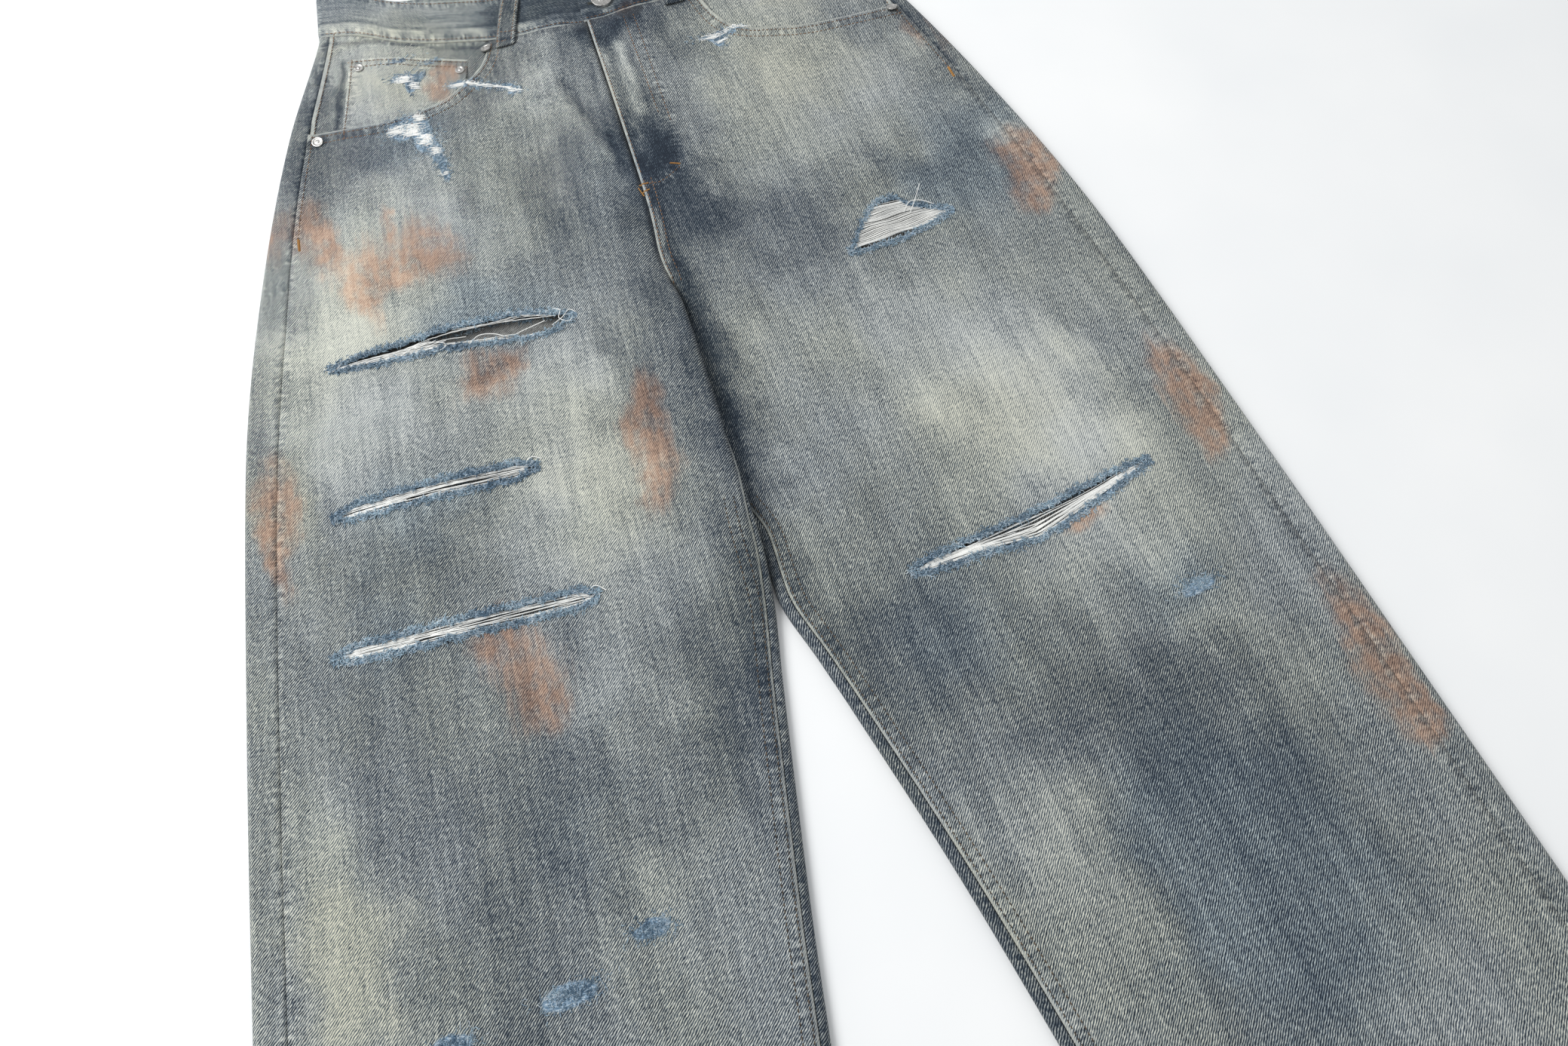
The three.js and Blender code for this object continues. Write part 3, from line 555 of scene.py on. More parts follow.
def denim_group():
    """The washed, stained and frayed colour of denim; its wash input also carries painted shade."""
    numbers = dict(Wash=0.5, Rust=0.0, Fray=0.0, Beige=0.0, Edge=99.0, Seam=99.0, Run=0.0,
                   Ridge=0.5, Slub=0.5, Cross=0.5)
    inputs = [("UV", "Vector", None)] + [(label, "Float", value) for label, value in numbers.items()]
    tree, given, out = new_group("washed_denim", inputs, [("Color", "Color"), ("Height", "Float")])
    w = Wires(tree)

    def sway(value, amount):
        return w.times(w.math("SUBTRACT", value, 0.5), amount)

    cloud = w.grain(given["UV"], 34, 22, 4.0, 0.6)
    mottle = w.grain(given["UV"], 240, 160, 3.0, 0.65)
    streak = w.grain(given["UV"], 260, 11, 3.0, 0.6)
    wash = given["Wash"]
    drift = w.grain(given["UV"], 62, 5, 3.0, 0.55)
    for value, amount in ((cloud, 0.16), (mottle, 0.24), (streak, 0.34), (drift, 0.30), (given["Slub"], 0.42),
                          (given["Cross"], 0.30)):
        wash = w.plus(wash, sway(value, amount))
    # Seams pucker across their run: the rungs rub pale and the valleys stay dark.
    place = w.node("CombineXYZ")
    w.feed(place.inputs[0], w.times(given["Run"], 0.30))
    w.feed(place.inputs[1], w.times(given["Seam"], 0.10))
    near_seam = w.span(given["Seam"], 2.0, 7.0, 1.0, 0.0)
    pucker = w.span(w.noise(place.outputs[0], 1.0, 2.0, 0.5), 0.34, 0.66)
    pucker = w.times(w.math("SUBTRACT", pucker, 0.55), near_seam)
    wash = w.plus(wash, w.times(pucker, 0.30))
    edge_wear = w.span(given["Edge"], 0.9, 2.0, 1.0, 0.0)
    worn = w.times(edge_wear, w.span(mottle, 0.25, 0.6, 0.60, 0.95))
    to_pale = w.math("MAXIMUM", w.math("SUBTRACT", 0.76, wash), 0.12)
    wash = w.math("MULTIPLY_ADD", worn, to_pale, wash)
    yarn_streak = w.grain(given["UV"], 420, 22, 3.0, 0.6)
    rust_edge = w.plus(given["Rust"], w.plus(sway(streak, 0.5), sway(yarn_streak, 0.5)))
    blots = w.span(w.grain(given["UV"], 120, 70, 2.0, 0.55), 0.32, 0.60, 0.42, 1.0)
    rust = w.times(w.span(rust_edge, 0.05, 0.85), w.span(given["Rust"], 0.02, 0.24))
    rust = w.times(rust, blots)
    # The weave shows less where the cloth is rubbed smooth or stained.
    contrast = w.span(wash, 0.3, 0.9, 1.05, 0.75)
    for rubbed, loss in ((worn, -0.75), (rust, -0.45)):
        contrast = w.times(contrast, w.math("MULTIPLY_ADD", rubbed, loss, 1.0))
    tone = w.math("ADD", wash, w.times(sway(given["Ridge"], 1.0), contrast), clamp=True)
    colour = w.ramp(tone, DENIM_STOPS)
    # Tint wanders between greenish and violet greys.
    hue = w.span(w.grain(given["UV"], 11, 8, 2.0), 0.35, 0.65)
    tint = w.mix(hue, linear((249, 251, 255)), linear((255, 255, 249)))
    tint = w.mix(w.span(given["Beige"], 0.0, 1.0), tint, linear((255, 252, 239)))
    tint = w.mix(w.span(given["Beige"], 0.0, -1.0), tint, linear((236, 246, 255)))
    colour = w.mix(1.0, colour, tint, "MULTIPLY")
    colour = w.mix(w.times(rust, 0.76), colour, w.ramp(tone, RUST_STOPS))
    fray_noise = w.grain(given["UV"], 500, 900, 3.0, 0.7)
    fray_colour = w.ramp(fray_noise, FRAY_STOPS)
    fray = w.span(w.plus(given["Fray"], sway(mottle, 0.5)), 0.3, 0.6)
    colour = w.mix(fray, colour, fray_colour)
    w.feed(out["Color"], colour)
    yarns = w.math("MULTIPLY_ADD", given["Slub"], 0.5, w.times(given["Ridge"], 0.9))
    lumps = w.times(pucker, 1.1)
    fuzz = w.times(w.times(fray, fray_noise), 3.0)
    w.feed(out["Height"], w.plus(w.plus(yarns, lumps), fuzz))
    return tree


DENIM_STOPS = [(0.0, (25, 35, 47)), (0.25, (67, 79, 90)), (0.5, (126, 132, 135)), (0.75, (175, 178, 173)),
               (1.0, (218, 219, 210))]
RUST_STOPS = [(0.0, (70, 54, 48)), (0.4, (142, 112, 94)), (0.7, (196, 158, 132)), (1.0, (222, 194, 168))]
FRAY_STOPS = [(0.25, (58, 82, 108)), (0.42, (98, 126, 150)), (0.55, (150, 172, 190)), (0.70, (222, 229, 232))]

TWILL = twill_group()
DENIM_WASH = denim_group()


def attribute(w, name):
    made = w.node("Attribute", attribute_name=name)
    return made.outputs["Fac"]


def material(name):
    mat = bpy.data.materials.new(name)
    mat.use_nodes = True
    w = Wires(mat.node_tree)
    return mat, w, mat.node_tree.nodes["Principled BSDF"]


def denim_material(name, depth=0.00022, weave=1.0):
    mat, w, shader = material(name)
    uv = w.node("UVMap", uv_map="UVMap").outputs[0]
    twill = w.node("Group", node_tree=TWILL)
    w.feed(twill.inputs["UV"], uv)
    denim = w.node("Group", node_tree=DENIM_WASH)
    w.feed(denim.inputs["UV"], uv)
    for label in ("Wash", "Rust", "Fray", "Beige", "Edge", "Seam", "Run"):
        w.feed(denim.inputs[label], attribute(w, label.lower()))
    for label in ("Slub", "Cross"):
        w.feed(denim.inputs[label], twill.outputs[label])
    w.feed(denim.inputs["Ridge"], w.math("MULTIPLY_ADD", twill.outputs["Ridge"], weave, 0.5 - weave / 2))
    bump = w.node("Bump")
    bump.inputs["Strength"].default_value = 0.8
    bump.inputs["Distance"].default_value = depth
    w.feed(bump.inputs["Height"], denim.outputs["Height"])
    w.feed(shader.inputs["Base Color"], denim.outputs["Color"])
    w.feed(shader.inputs["Normal"], bump.outputs[0])
    for label, value in (("Roughness", 0.92), ("Specular IOR Level", 0.25), ("Sheen Weight", 0.12),
                         ("Sheen Roughness", 0.5)):
        shader.inputs[label].default_value = value
    return mat


def plain_twill_material(name, dark, light):
    """Twill in two flat tones, for the inside of the cloth and for tape."""
    mat, w, shader = material(name)
    uv = w.node("UVMap", uv_map="UVMap").outputs[0]
    twill = w.node("Group", node_tree=TWILL)
    w.feed(twill.inputs["UV"], w.stretch(uv, (-1.0, 1.0, 1.0)))
    ridge = w.times(twill.outputs["Ridge"], 0.85)
    tone = w.math("MULTIPLY_ADD", twill.outputs["Slub"], 0.25, ridge)
    w.feed(shader.inputs["Base Color"], w.ramp(tone, [(0.25, dark), (0.8, light)]))
    bump = w.node("Bump")
    bump.inputs["Distance"].default_value = 0.0002
    w.feed(bump.inputs["Height"], twill.outputs["Ridge"])
    w.feed(shader.inputs["Normal"], bump.outputs[0])
    shader.inputs["Roughness"].default_value = 0.95
    return mat


def yarn_material(name, dark, light, scale=900.0, rough=0.85):
    mat, w, shader = material(name)
    place = w.node("TexCoord").outputs["Object"]
    fleck = w.noise(place, scale, 2.0, 0.6)
    broad = w.noise(place, 45.0, 2.0, 0.5)
    tone = w.math("MULTIPLY_ADD", broad, 0.6, w.times(fleck, 0.4))
    w.feed(shader.inputs["Base Color"], w.ramp(tone, [(0.35, dark), (0.65, light)]))
    shader.inputs["Roughness"].default_value = rough
    return mat


def metal_material(name):
    mat, w, shader = material(name)
    place = w.node("TexCoord").outputs["Object"]
    rub = w.noise(place, 700.0, 3.0, 0.6)
    w.feed(shader.inputs["Base Color"], w.ramp(rub, [(0.3, (168, 166, 162)), (0.7, (214, 213, 210))]))
    w.feed(shader.inputs["Roughness"], w.span(rub, 0.3, 0.7, 0.24, 0.42))
    shader.inputs["Metallic"].default_value = 1.0
    return mat


DENIM = denim_material("denim_washed")
BAND_DENIM = denim_material("denim_washed_band", weave=0.55)
# The inside's dark grey-brown tones are partly painted shade: the inside seen through the tears lies in
# shadow, and the real weft face is lighter.
INSIDE = plain_twill_material("denim_inside", (46, 48, 50), (152, 153, 150))
TAPE = plain_twill_material("zip_tape", (24, 28, 34), (48, 54, 62))
TAN_THREAD = yarn_material("thread_tan", (78, 62, 52), (146, 112, 84))
BROWN_THREAD = yarn_material("thread_brown", (50, 46, 42), (112, 96, 78))
GOLD_THREAD = yarn_material("thread_gold", (138, 96, 48), (196, 148, 84))
BLUE_YARN = yarn_material("yarn_blue", (60, 88, 112), (174, 198, 212), 420.0)
PALE_YARN = yarn_material("yarn_pale", (140, 164, 184), (222, 230, 234), 420.0)
WHITE_YARN = yarn_material("yarn_white", (222, 223, 221), (252, 252, 248), 300.0)
NICKEL = metal_material("nickel")


# ---- Mesh building ----
def make_object(name, verts_mm, faces, materials, smooth=True):
    mesh = bpy.data.meshes.new(name)
    verts = np.asarray(verts_mm, float) * MM
    faces = np.asarray(faces, np.int32)
    sides = faces.shape[1]
    mesh.vertices.add(len(verts))
    mesh.vertices.foreach_set("co", verts.astype(np.float32).ravel())
    mesh.loops.add(faces.size)
    mesh.loops.foreach_set("vertex_index", faces.ravel())
    mesh.polygons.add(len(faces))
    mesh.polygons.foreach_set("loop_start", np.arange(0, faces.size, sides, dtype=np.int32))
    mesh.update(calc_edges=True)
    mesh.validate()
    if smooth:
        mesh.polygons.foreach_set("use_smooth", np.ones(len(mesh.polygons), bool))
    for mat in materials:
        mesh.materials.append(mat)
    obj = bpy.data.objects.new(name, mesh)
    bpy.context.scene.collection.objects.link(obj)
    return obj


def put_attribute(obj, name, values):
    layer = obj.data.attributes.new(name, "FLOAT", "POINT")
    layer.data.foreach_set("value", np.asarray(values, np.float32).ravel())


def put_uv(obj, uv_mm):
    layer = obj.data.uv_layers.new(name="UVMap")
    index = np.empty(len(obj.data.loops), np.int32)
    obj.data.loops.foreach_get("vertex_index", index)
    layer.data.foreach_set("uv", (np.asarray(uv_mm) * MM)[index].astype(np.float32).ravel())


def choose(*objects):
    """Selects just these objects, and makes the first one active."""
    bpy.ops.object.select_all(action="DESELECT")
    for obj in objects:
        obj.select_set(True)
    bpy.context.view_layer.objects.active = objects[0]


def apply_modifiers(obj):
    choose(obj)
    for modifier in list(obj.modifiers):
        bpy.ops.object.modifier_apply(modifier=modifier.name)


def solidify(obj, thickness=CLOTH, offset=0.0):
    """Gives a sheet its thickness; its inside shows the object's second material."""
    wall = obj.modifiers.new("wall", "SOLIDIFY")
    wall.thickness = thickness * MM
    wall.offset = offset
    wall.use_even_offset = False
    wall.material_offset = 1
    apply_modifiers(obj)


def grid_faces(index, ring=False):
    """Quads over a grid of vertex numbers, facing across x along."""
    a, b = index[:-1, :-1], index[1:, :-1]
    c, d = index[1:, 1:], index[:-1, 1:]
    faces = np.stack([a, b, c, d], -1).reshape(-1, 4)
    if ring:
        last = np.stack([index[-1, :-1], index[0, :-1], index[0, 1:], index[-1, 1:]], -1)
        faces = np.concatenate([faces, last])
    return faces


def sheet_faces(x, side="right", ring=False):
    """Faces over a grid of places; the left side's mirror image needs its faces turned round."""
    faces = grid_faces(np.arange(x.size).reshape(x.shape), ring)
    return faces[:, ::-1] if side == "left" else faces


def cloth_area(points, faces):
    p = points[faces]
    return 0.5 * np.linalg.norm(np.cross(p[:, 2] - p[:, 0], p[:, 3] - p[:, 1]), axis=1).sum() * MM * MM


GRAIN = {"right": math.radians(-4), "left": math.radians(4)}


def grain_uv(side, x, y):
    """Cloth coordinates that follow the leg's grain."""
    turn = GRAIN[side]
    return np.stack([x * math.cos(turn) + y * math.sin(turn), y * math.cos(turn) - x * math.sin(turn)], -1)


PIECES = {}


def finish_cloth(node, obj):
    """Attaches a sheet of cloth that stands for its CAD node to the root body, hides the node and keeps the
    sheet in PIECES.
    """
    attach(obj, "root")
    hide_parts(node)
    PIECES[node] = obj


# ---- Places on the laid garment ----
TORN = 0.4


def inseam_at(side, v):
    """Where the inseam lies on a leg, from the inner end; below FOLD_REACH it is round the fold."""
    return lerp(HIDDEN_INSEAM, INSEAM_IN[side], ramp(v, *INSEAM_SHOWS[side]))


def round_leg(side, v, a):
    """A place on a leg's upper side, or round its inner fold where a is under FOLD_REACH."""
    turned = np.clip((FOLD_REACH - a) / WRAP, 0, 1)
    over = on_top(side, v, np.maximum(a, FOLD_REACH))
    return np.where((a < FOLD_REACH)[..., None], fold(side, v, "inner", turned), over)


def front_span(side, r):
    """The front panel's inner and outer edges on a row, measured from the row's inner end."""
    return inseam_at(side, r.v) * legged(r.v), r.width - OUTSEAM_IN[side](r.side_depth)


def front_place(side, v, share):
    """A place on the front panel: its point, and how far from the row's inner end it lies."""
    r = Row(side, v)
    outer = r.width - OUTSEAM_IN[side](r.side_depth)
    seat = lerp(0.0, outer, share)
    leg = lerp(inseam_at(side, r.v), outer, share)
    mixed = legged(r.v)
    point = lerp(on_top(side, v, seat), round_leg(side, v, leg), mixed[..., None])
    return point, lerp(seat, leg, mixed)


def front_plan(side, v, share):
    r = Row(side, v)
    start, end = front_span(side, r)
    _, x, y = r.plan(lerp(start, end, share))
    return x, y


def row_through(side, share, y_of_x):
    """The v at which each column, by its share, crosses the line y_of_x."""
    low = np.full(np.shape(share), -0.004)
    high = np.full(np.shape(share), 1.0)
    for _ in range(40):
        middle = (low + high) / 2
        x, y = front_plan(side, middle, share)
        above = y > y_of_x(x)
        low = np.where(above, middle, low)
        high = np.where(above, high, middle)
    return (low + high) / 2


# Pocket mouths, from the band to the outseam: (distance from the centre line, depth below the band seam).
MOUTH = {
    "right": [(80, -10), (86, 8), (98, 24), (115, 36), (135, 44), (165, 48), (200, 46), (232, 42)],
    "left": [(90, -12), (93, 4), (100, 26), (113, 44), (150, 55), (190, 59), (245, 61)],
}


def mouth_y(side, x):
    """The pocket mouth's y at x; above the garment where the mouth doesn't reach."""
    knots = np.array(MOUTH[side], float)
    depth = through(*knots)(np.abs(x))
    return np.where(np.abs(x) < knots[0][0], 1000.0, SEAM_Y - depth)


# Torn slits. The line's (x, y) places, how far each lip is pulled from it at some x, and its reach.
TEARS = {
    "right": [
        dict(line=[(-243, 194), (-200, 193), (-160, 192), (-120, 189), (-78, 184)], reach=32,
             up=[(-243, 0), (-225, 3), (-200, 4.5), (-170, 6), (-140, 8), (-112, 8.5), (-90, 4.5), (-78, 0)],
             down=[(-243, 0), (-225, 3), (-200, 4), (-170, 5.5), (-140, 8), (-112, 10), (-92, 8), (-78, 0)]),
        dict(line=[(-257, 85), (-190, 83.5), (-127, 80)], reach=26,
             up=[(-257, 0), (-245, 3.6), (-190, 4.4), (-140, 4.4), (-127, 0)],
             down=[(-257, 0), (-245, 3), (-190, 4.2), (-140, 4.2), (-127, 0)]),
        dict(line=[(-271, -8), (-190, -13), (-109, -18)], reach=26,
             up=[(-271, 0), (-258, 3.4), (-190, 4), (-122, 4.4), (-109, 0)],
             down=[(-271, 0), (-258, 3), (-190, 4), (-122, 4), (-109, 0)]),
    ],
    "left": [
        dict(line=[(126, 172), (165, 176), (204, 184)], reach=74,
             up=[(126, 0), (140, 17), (150, 27), (160, 31), (171, 29), (177, 19), (190, 10), (204, 0)],
             down=[(126, 0), (140, 2), (190, 2), (204, 0)]),
        dict(line=[(81, -66), (130, -62), (165, -59), (210, -51), (251, -43)], reach=32,
             up=[(81, 0), (95, 3), (165, 4.4), (230, 3), (251, 0)],
             down=[(81, 0), (95, 3), (130, 5), (165, 10), (190, 8), (225, 4), (251, 0)]),
    ],
}


def interp(knots, x):
    return np.interp(x, *np.array(knots, float).T)


def ragged(x, seed):
    """How unevenly a torn lip runs, in millimetres."""
    return 0.5 * np.sin(x * 0.9 + seed) + 0.4 * np.sin(x * 2.3 + 2 * seed) + 0.3 * np.sin(x * 0.37 + seed)


def tear_ends(tear):
    return tear["line"][0][0], tear["line"][-1][0]


def lip_reach(tear, which, x, frayed=True):
    """How far a lip stands from the tear's line at x."""
    reach = interp(tear[which], x)
    opening = np.clip(reach / 2, 0, 1)
    return reach + (opening * ragged(x, 1.7 if which == "up" else 4.1) if frayed else 0)


def even(count, crowd_start=0.0, crowd_end=0.0):
    """Shares from 0 to 1, closer together at the ends that are crowded."""
    t = np.linspace(0, 1, 400)
    pace = 1 / (1 + crowd_start * np.exp(-t / 0.07) + crowd_end * np.exp(-(1 - t) / 0.07))
    place = np.concatenate([[0], np.cumsum((pace[1:] + pace[:-1]) / 2)])
    return np.interp(np.linspace(0, 1, count), place / place[-1], t)


FRONT_COLUMNS = 116
FRONT_ROW_PITCH = 3.5


# ---- Seams drawn on the laid garment, as paths of (x, y) ----
def front_line(side, share, v0, v1, inset=0.0, count=160):
    """A path down a front panel at a share across it, moved in from its edge by inset millimetres."""
    v = np.linspace(v0, v1, count)
    r = Row(side, v)
    start, end = front_span(side, r)
    b = lerp(start, end, share) + inset * (1 if share < 0.5 else -1)
    _, x, y = r.plan(b)
    return np.stack([x, y], -1)


def band_taper(up):
    """How much narrower the band is, up millimetres above its seam."""
    return 1 - 0.02 * up / BAND_HEIGHT


def band_line(side, up, count=120):
    """A path on the band's front, up millimetres above its seam, from the centre to the side fold."""
    r = Row(side, np.zeros(count))
    share = np.linspace(0, 1, count)
    _, x, y = r.plan((r.width - FOLD_REACH) * share)
    return np.stack([x * band_taper(up), y + SEAM_GAP + up], -1)


def mouth_line(side, inset, count=90):
    """A path along the pocket mouth, inset millimetres below it."""
    knots = np.array(MOUTH[side], float)
    x = np.linspace(knots[0][0] + 1, knots[-1][0] - 3, count)
    y = mouth_y(side, x)
    along = np.stack([np.gradient(x), np.gradient(y)], -1)
    along /= np.linalg.norm(along, axis=1)[:, None]
    path = np.stack([x, y], -1) + inset * np.stack([along[:, 1], -along[:, 0]], -1)
    path[:, 0] *= SIGN[side]
    return path


def lengths_along(path):
    """How far along a path each of its places lies."""
    return np.concatenate([[0], np.cumsum(np.linalg.norm(np.diff(path, axis=0), axis=1))])


def smooth_path(points, count=80):
    """A smooth path through the points, in two or three directions."""
    pts = np.array(points, float)
    steps = lengths_along(pts)
    t = np.linspace(0, steps[-1], count)
    return np.stack([through(*zip(steps, pts[:, k]))(t) for k in range(pts.shape[1])], -1)


FLY_J = [(36, 442), (36, 400), (35, 350), (35, 322), (32, 296), (24, 280), (10, 272), (0, 274)]
FLY_J_TOP = [(36, 442), (36, 400), (35, 350), (35, 326)]
FLY_J_INNER = [(28, 442), (28, 400), (28, 350), (28, 334)]
FLY_J_FOOT = [(30, 283), (20, 277), (10, 273), (0, 275)]
BARTACK_V = 0.19
# Bartacks round the fly's foot: (centre, angle in degrees, length, width).
FLY_TACKS = [((-4, 268), 105, 8, 1.0), ((0, 274.5), 4, 7, 1.0), ((0, 268), 18, 6, 0.9),
             ((27, 286), -20, 7.5, 1.4)]


def seam_paths(side):
    """Where the front layers pucker on one side."""
    paths = [front_line(side, 1.0, -0.003, HEM_V), band_line(side, 0), mouth_line(side, 5)]
    paths.append(front_line(side, 0.0, 0.46, HEM_V, 5))
    if side == "left":
        paths.append(smooth_path(FLY_J))
    return paths


def nearest_on(paths, x, y):
    """Distance to the nearest path, and how far along it the nearest place lies."""
    best = np.full(np.shape(x), 1e3)
    run = np.zeros(np.shape(x))
    offset = 0.0
    for path in paths:
        length = lengths_along(path)
        step = max(1, len(path) // 60)
        for k in range(0, len(path) - step, step):
            (ax, ay), (bx, by) = path[k], path[k + step]
            span = (bx - ax) ** 2 + (by - ay) ** 2 + 1e-9
            t = np.clip(((x - ax) * (bx - ax) + (y - ay) * (by - ay)) / span, 0, 1)
            distance = np.hypot(x - lerp(ax, bx, t), y - lerp(ay, by, t))
            closer = distance < best
            best = np.where(closer, distance, best)
            run = np.where(closer, offset + lerp(length[k], length[k + step], t), run)
        offset += length[-1] + 37.0
    return best, run


def obj_height(obj):
    """The height of each of an object's points, in millimetres."""
    places = np.empty(len(obj.data.vertices) * 3, np.float32)
    obj.data.vertices.foreach_get("co", places)
    return places[2::3] / MM


def dress(obj, x, y, wash, rust=0, fray=0, edge=99, seam=99, run=0, uv=None, side="right"):
    """Gives cloth its map and its wash (with painted shade), rust, fray, edge, seam and run values, one for
    each of its points.
    """
    put_uv(obj, (grain_uv(side, x, y) if uv is None else uv).reshape(-1, 2))
    beige = beige_at(x, y) * (obj_height(obj).reshape(x.shape) > 2.5)
    values = dict(wash=wash, rust=rust, fray=fray, edge=edge, seam=seam, run=run, beige=beige)
    for name, value in values.items():
        put_attribute(obj, name, np.broadcast_to(np.asarray(value, float), x.shape).ravel())


# ---- Front panels ----
def lip_lift(side, x, y):
    """The panel lifts a little at its pocket mouth, over the coin pocket and facing."""
    below_mouth = mouth_y(side, x) - y
    mouth_start = MOUTH[side][0][0]
    return 1.2 * (1 - ramp(below_mouth, 0, 13)) * ramp(np.abs(x), mouth_start - 3, mouth_start + 10)


def seam_relief(side, r, b):
    """Thickness of the seam allowances under a front panel's edges, and the steps at its seams."""
    start, end = front_span(side, r)
    from_inner, from_outer = b - start, end - b
    leg = legged(r.v)
    felled = 0.55 * leg * (1 - ramp(from_inner, 9, 11.5))
    top_part = 1 - ramp(r.v, BARTACK_V - 0.003, BARTACK_V + 0.003)
    welt = lerp(0.25, 1.0, top_part) * (1 - ramp(from_outer, 1.8, 3.4))
    fly_end = FLY_LENGTH / INNER_LENGTH
    fly = 1 - ramp(r.v, fly_end - 0.004, fly_end + 0.006)
    seat = (1 - leg) * (1 - fly)
    if side == "left":
        placket = 0.5 * fly * (1 - ramp(from_inner, 29, 34)) + 0.9 * (1 - ramp(from_inner, 2.4, 4.2))
        second = np.exp(-(((from_inner - 8.5) / 1.8) ** 2))
        inner = placket + seat * (0.3 * (1 - ramp(from_inner, 9, 11)) + 0.6 * second)
    else:
        inner = -1.25 * (1 - leg) * (1 - ramp(from_inner, 0.4, 3.5))
    return felled + welt + inner * (1 - leg)


def front(side):
    crowded = 1.6
    half_count = FRONT_COLUMNS // 2
    share = np.concatenate([0.5 * even(half_count, crowded), 1 - 0.5 * even(half_count, crowded)[::-1]])
    share = np.delete(share, half_count)
    band_v = np.full(share.shape, -0.0005)
    top = np.maximum(band_v, row_through(side, share, lambda x: mouth_y(side, x)))
    tears = TEARS[side]
    lines = [top]
    for tear in tears:
        lines.append(row_through(side, share, lambda x, t=tear: interp(t["line"], x)))
    lines.append(np.full(share.shape, HEM_V - SEAM_GAP / INNER_LENGTH))
    x_all, y_all, z_all, splits, b_all = [], [], [], [], []
    first_row = 0
    for k, (upper_line, lower_line) in enumerate(zip(lines, lines[1:])):
        length = np.median(lower_line - upper_line) * INNER_LENGTH
        rows = max(12, int(length / FRONT_ROW_PITCH))
        t = even(rows, 1.0 if k else 2.0, 1.0 if k < len(tears) else 0.0)
        v = lerp(upper_line[:, None], lower_line[:, None], t[None, :])
        r = Row(side, v)
        point, b = front_place(side, v, share[:, None] + 0 * v)
        x, y, z = np.moveaxis(point, -1, 0)
        z = z + seam_relief(side, r, b) + lip_lift(side, x, y)
        if k:
            tear = tears[k - 1]
            below_line = interp(tear["line"], x) - y
            pull = 1 - ramp(below_line, 0, tear["reach"])
            y = y - lip_reach(tear, "down", x) * pull
            z = z + TORN * np.clip(interp(tear["down"], x) / 4, 0, 1) * (1 - ramp(below_line, 0, 9))
        if k < len(tears):
            tear = tears[k]
            above_line = y - interp(tear["line"], x)
            pull = 1 - ramp(above_line, 0, tear["reach"])
            z = z + TORN * np.clip(interp(tear["up"], x) / 4, 0, 1) * (1 - ramp(above_line, 0, 9))
            y = y + lip_reach(tear, "up", x) * pull
        from_inner = np.abs(b - front_span(side, r)[0])
        piping = from_inner * 0.85 if side == "left" else from_inner + 9
        for store, value in ((x_all, x), (y_all, y), (z_all, z),
                             (b_all, lerp(piping, from_inner, legged(r.v)))):
            store.append(value)
        first_row += rows
        splits.append(first_row)
    x, y, z = (np.concatenate(part, axis=1) for part in (x_all, y_all, z_all))
    index = np.arange(x.size).reshape(x.shape)
    # Outside its tear, the two rows that meet at a tear's line share their points.
    for tear, row in zip(tears, splits):
        first, last = tear_ends(tear)
        joined = (x[:, row] <= first) | (x[:, row] >= last)
        index[joined, row] = index[joined, row - 1]
    pieces = []
    for a, b in zip([0] + splits, splits):
        pieces.append(grid_faces(index[:, a:b]))
    faces = np.concatenate(pieces)
    if side == "left":
        faces = faces[:, ::-1]
    used, faces = np.unique(faces, return_inverse=True)
    faces = faces.reshape(-1, 4)
    points = np.stack([x, y, z], -1).reshape(-1, 3)[used]
    area = cloth_area(points, faces)
    obj = make_object(f"front_{side}_cloth", points, faces, [DENIM, INSIDE])
    px, py = points[:, 0], points[:, 1]
    seam, run = nearest_on(seam_paths(side), px, py)
    edges = [mouth_line(side, 0.6), front_line(side, 1.0, -0.003, BARTACK_V, 1.4)]
    edge, _ = nearest_on(edges, px, py)
    from_inner = np.concatenate(b_all, axis=1).reshape(-1)[used]
    edge = np.minimum(edge, from_inner)
    dress(obj, px, py, wash_at(px, py), rust_at(px, py), np.maximum(fray_at(px, py), torn_at(side, px, py)),
          edge, seam, run, side=side)
    solidify(obj)
    finish_cloth(f"front_{side}", obj)


def torn_at(side, x, y):
    """Fuzz on the cloth beside its torn lips, from 0 to 1."""
    worn = np.zeros(np.shape(x))
    for tear in TEARS[side]:
        line = interp(tear["line"], x)
        up, down = lip_reach(tear, "up", x), lip_reach(tear, "down", x)
        outside = np.where(y > line, y - line - up, line - down - y)
        first, last = tear_ends(tear)
        past = np.maximum(np.maximum(first - x, x - last), 0)
        band = 3.6 + 1.2 * np.sin(x * 0.31) + 0.8 * np.sin(x * 0.83)
        away = np.hypot(np.maximum(outside, 0), past) - band + 2
        worn = np.maximum(worn, np.exp(-np.maximum(away, 0) / 1.2))
    return worn


# ---- Pocket facings and the coin pocket ----
def front_patch(side, shares, v, drop):
    """Points of the front's surface over shares by v rows, moved down by drop(x, y)."""
    r = Row(side, v[None, :] + 0 * shares[:, None])
    start, end = front_span(side, r)
    b = lerp(start, end, shares[:, None])
    _, x, y = r.plan(b)
    return x, y, r.upper(b) - drop(x, y)


def grid_cloth(node, side, x, y, z, flat, slot="denim", inside=INSIDE, outside=DENIM, thickness=CLOTH,
               **looks):
    """Finished cloth over a grid of places, standing for its CAD node."""
    faces = sheet_faces(x, side)
    points = np.stack([x, y, z], -1).reshape(-1, 3)
    obj = make_object(f"{node}_cloth", points, faces, [outside, inside])
    dress(obj, x, y, side=side, **looks)
    solidify(obj, thickness)
    finish_cloth(node, obj)


FACING_DROP = 1.75
FACING_SHARES = (0.38, 1.0)


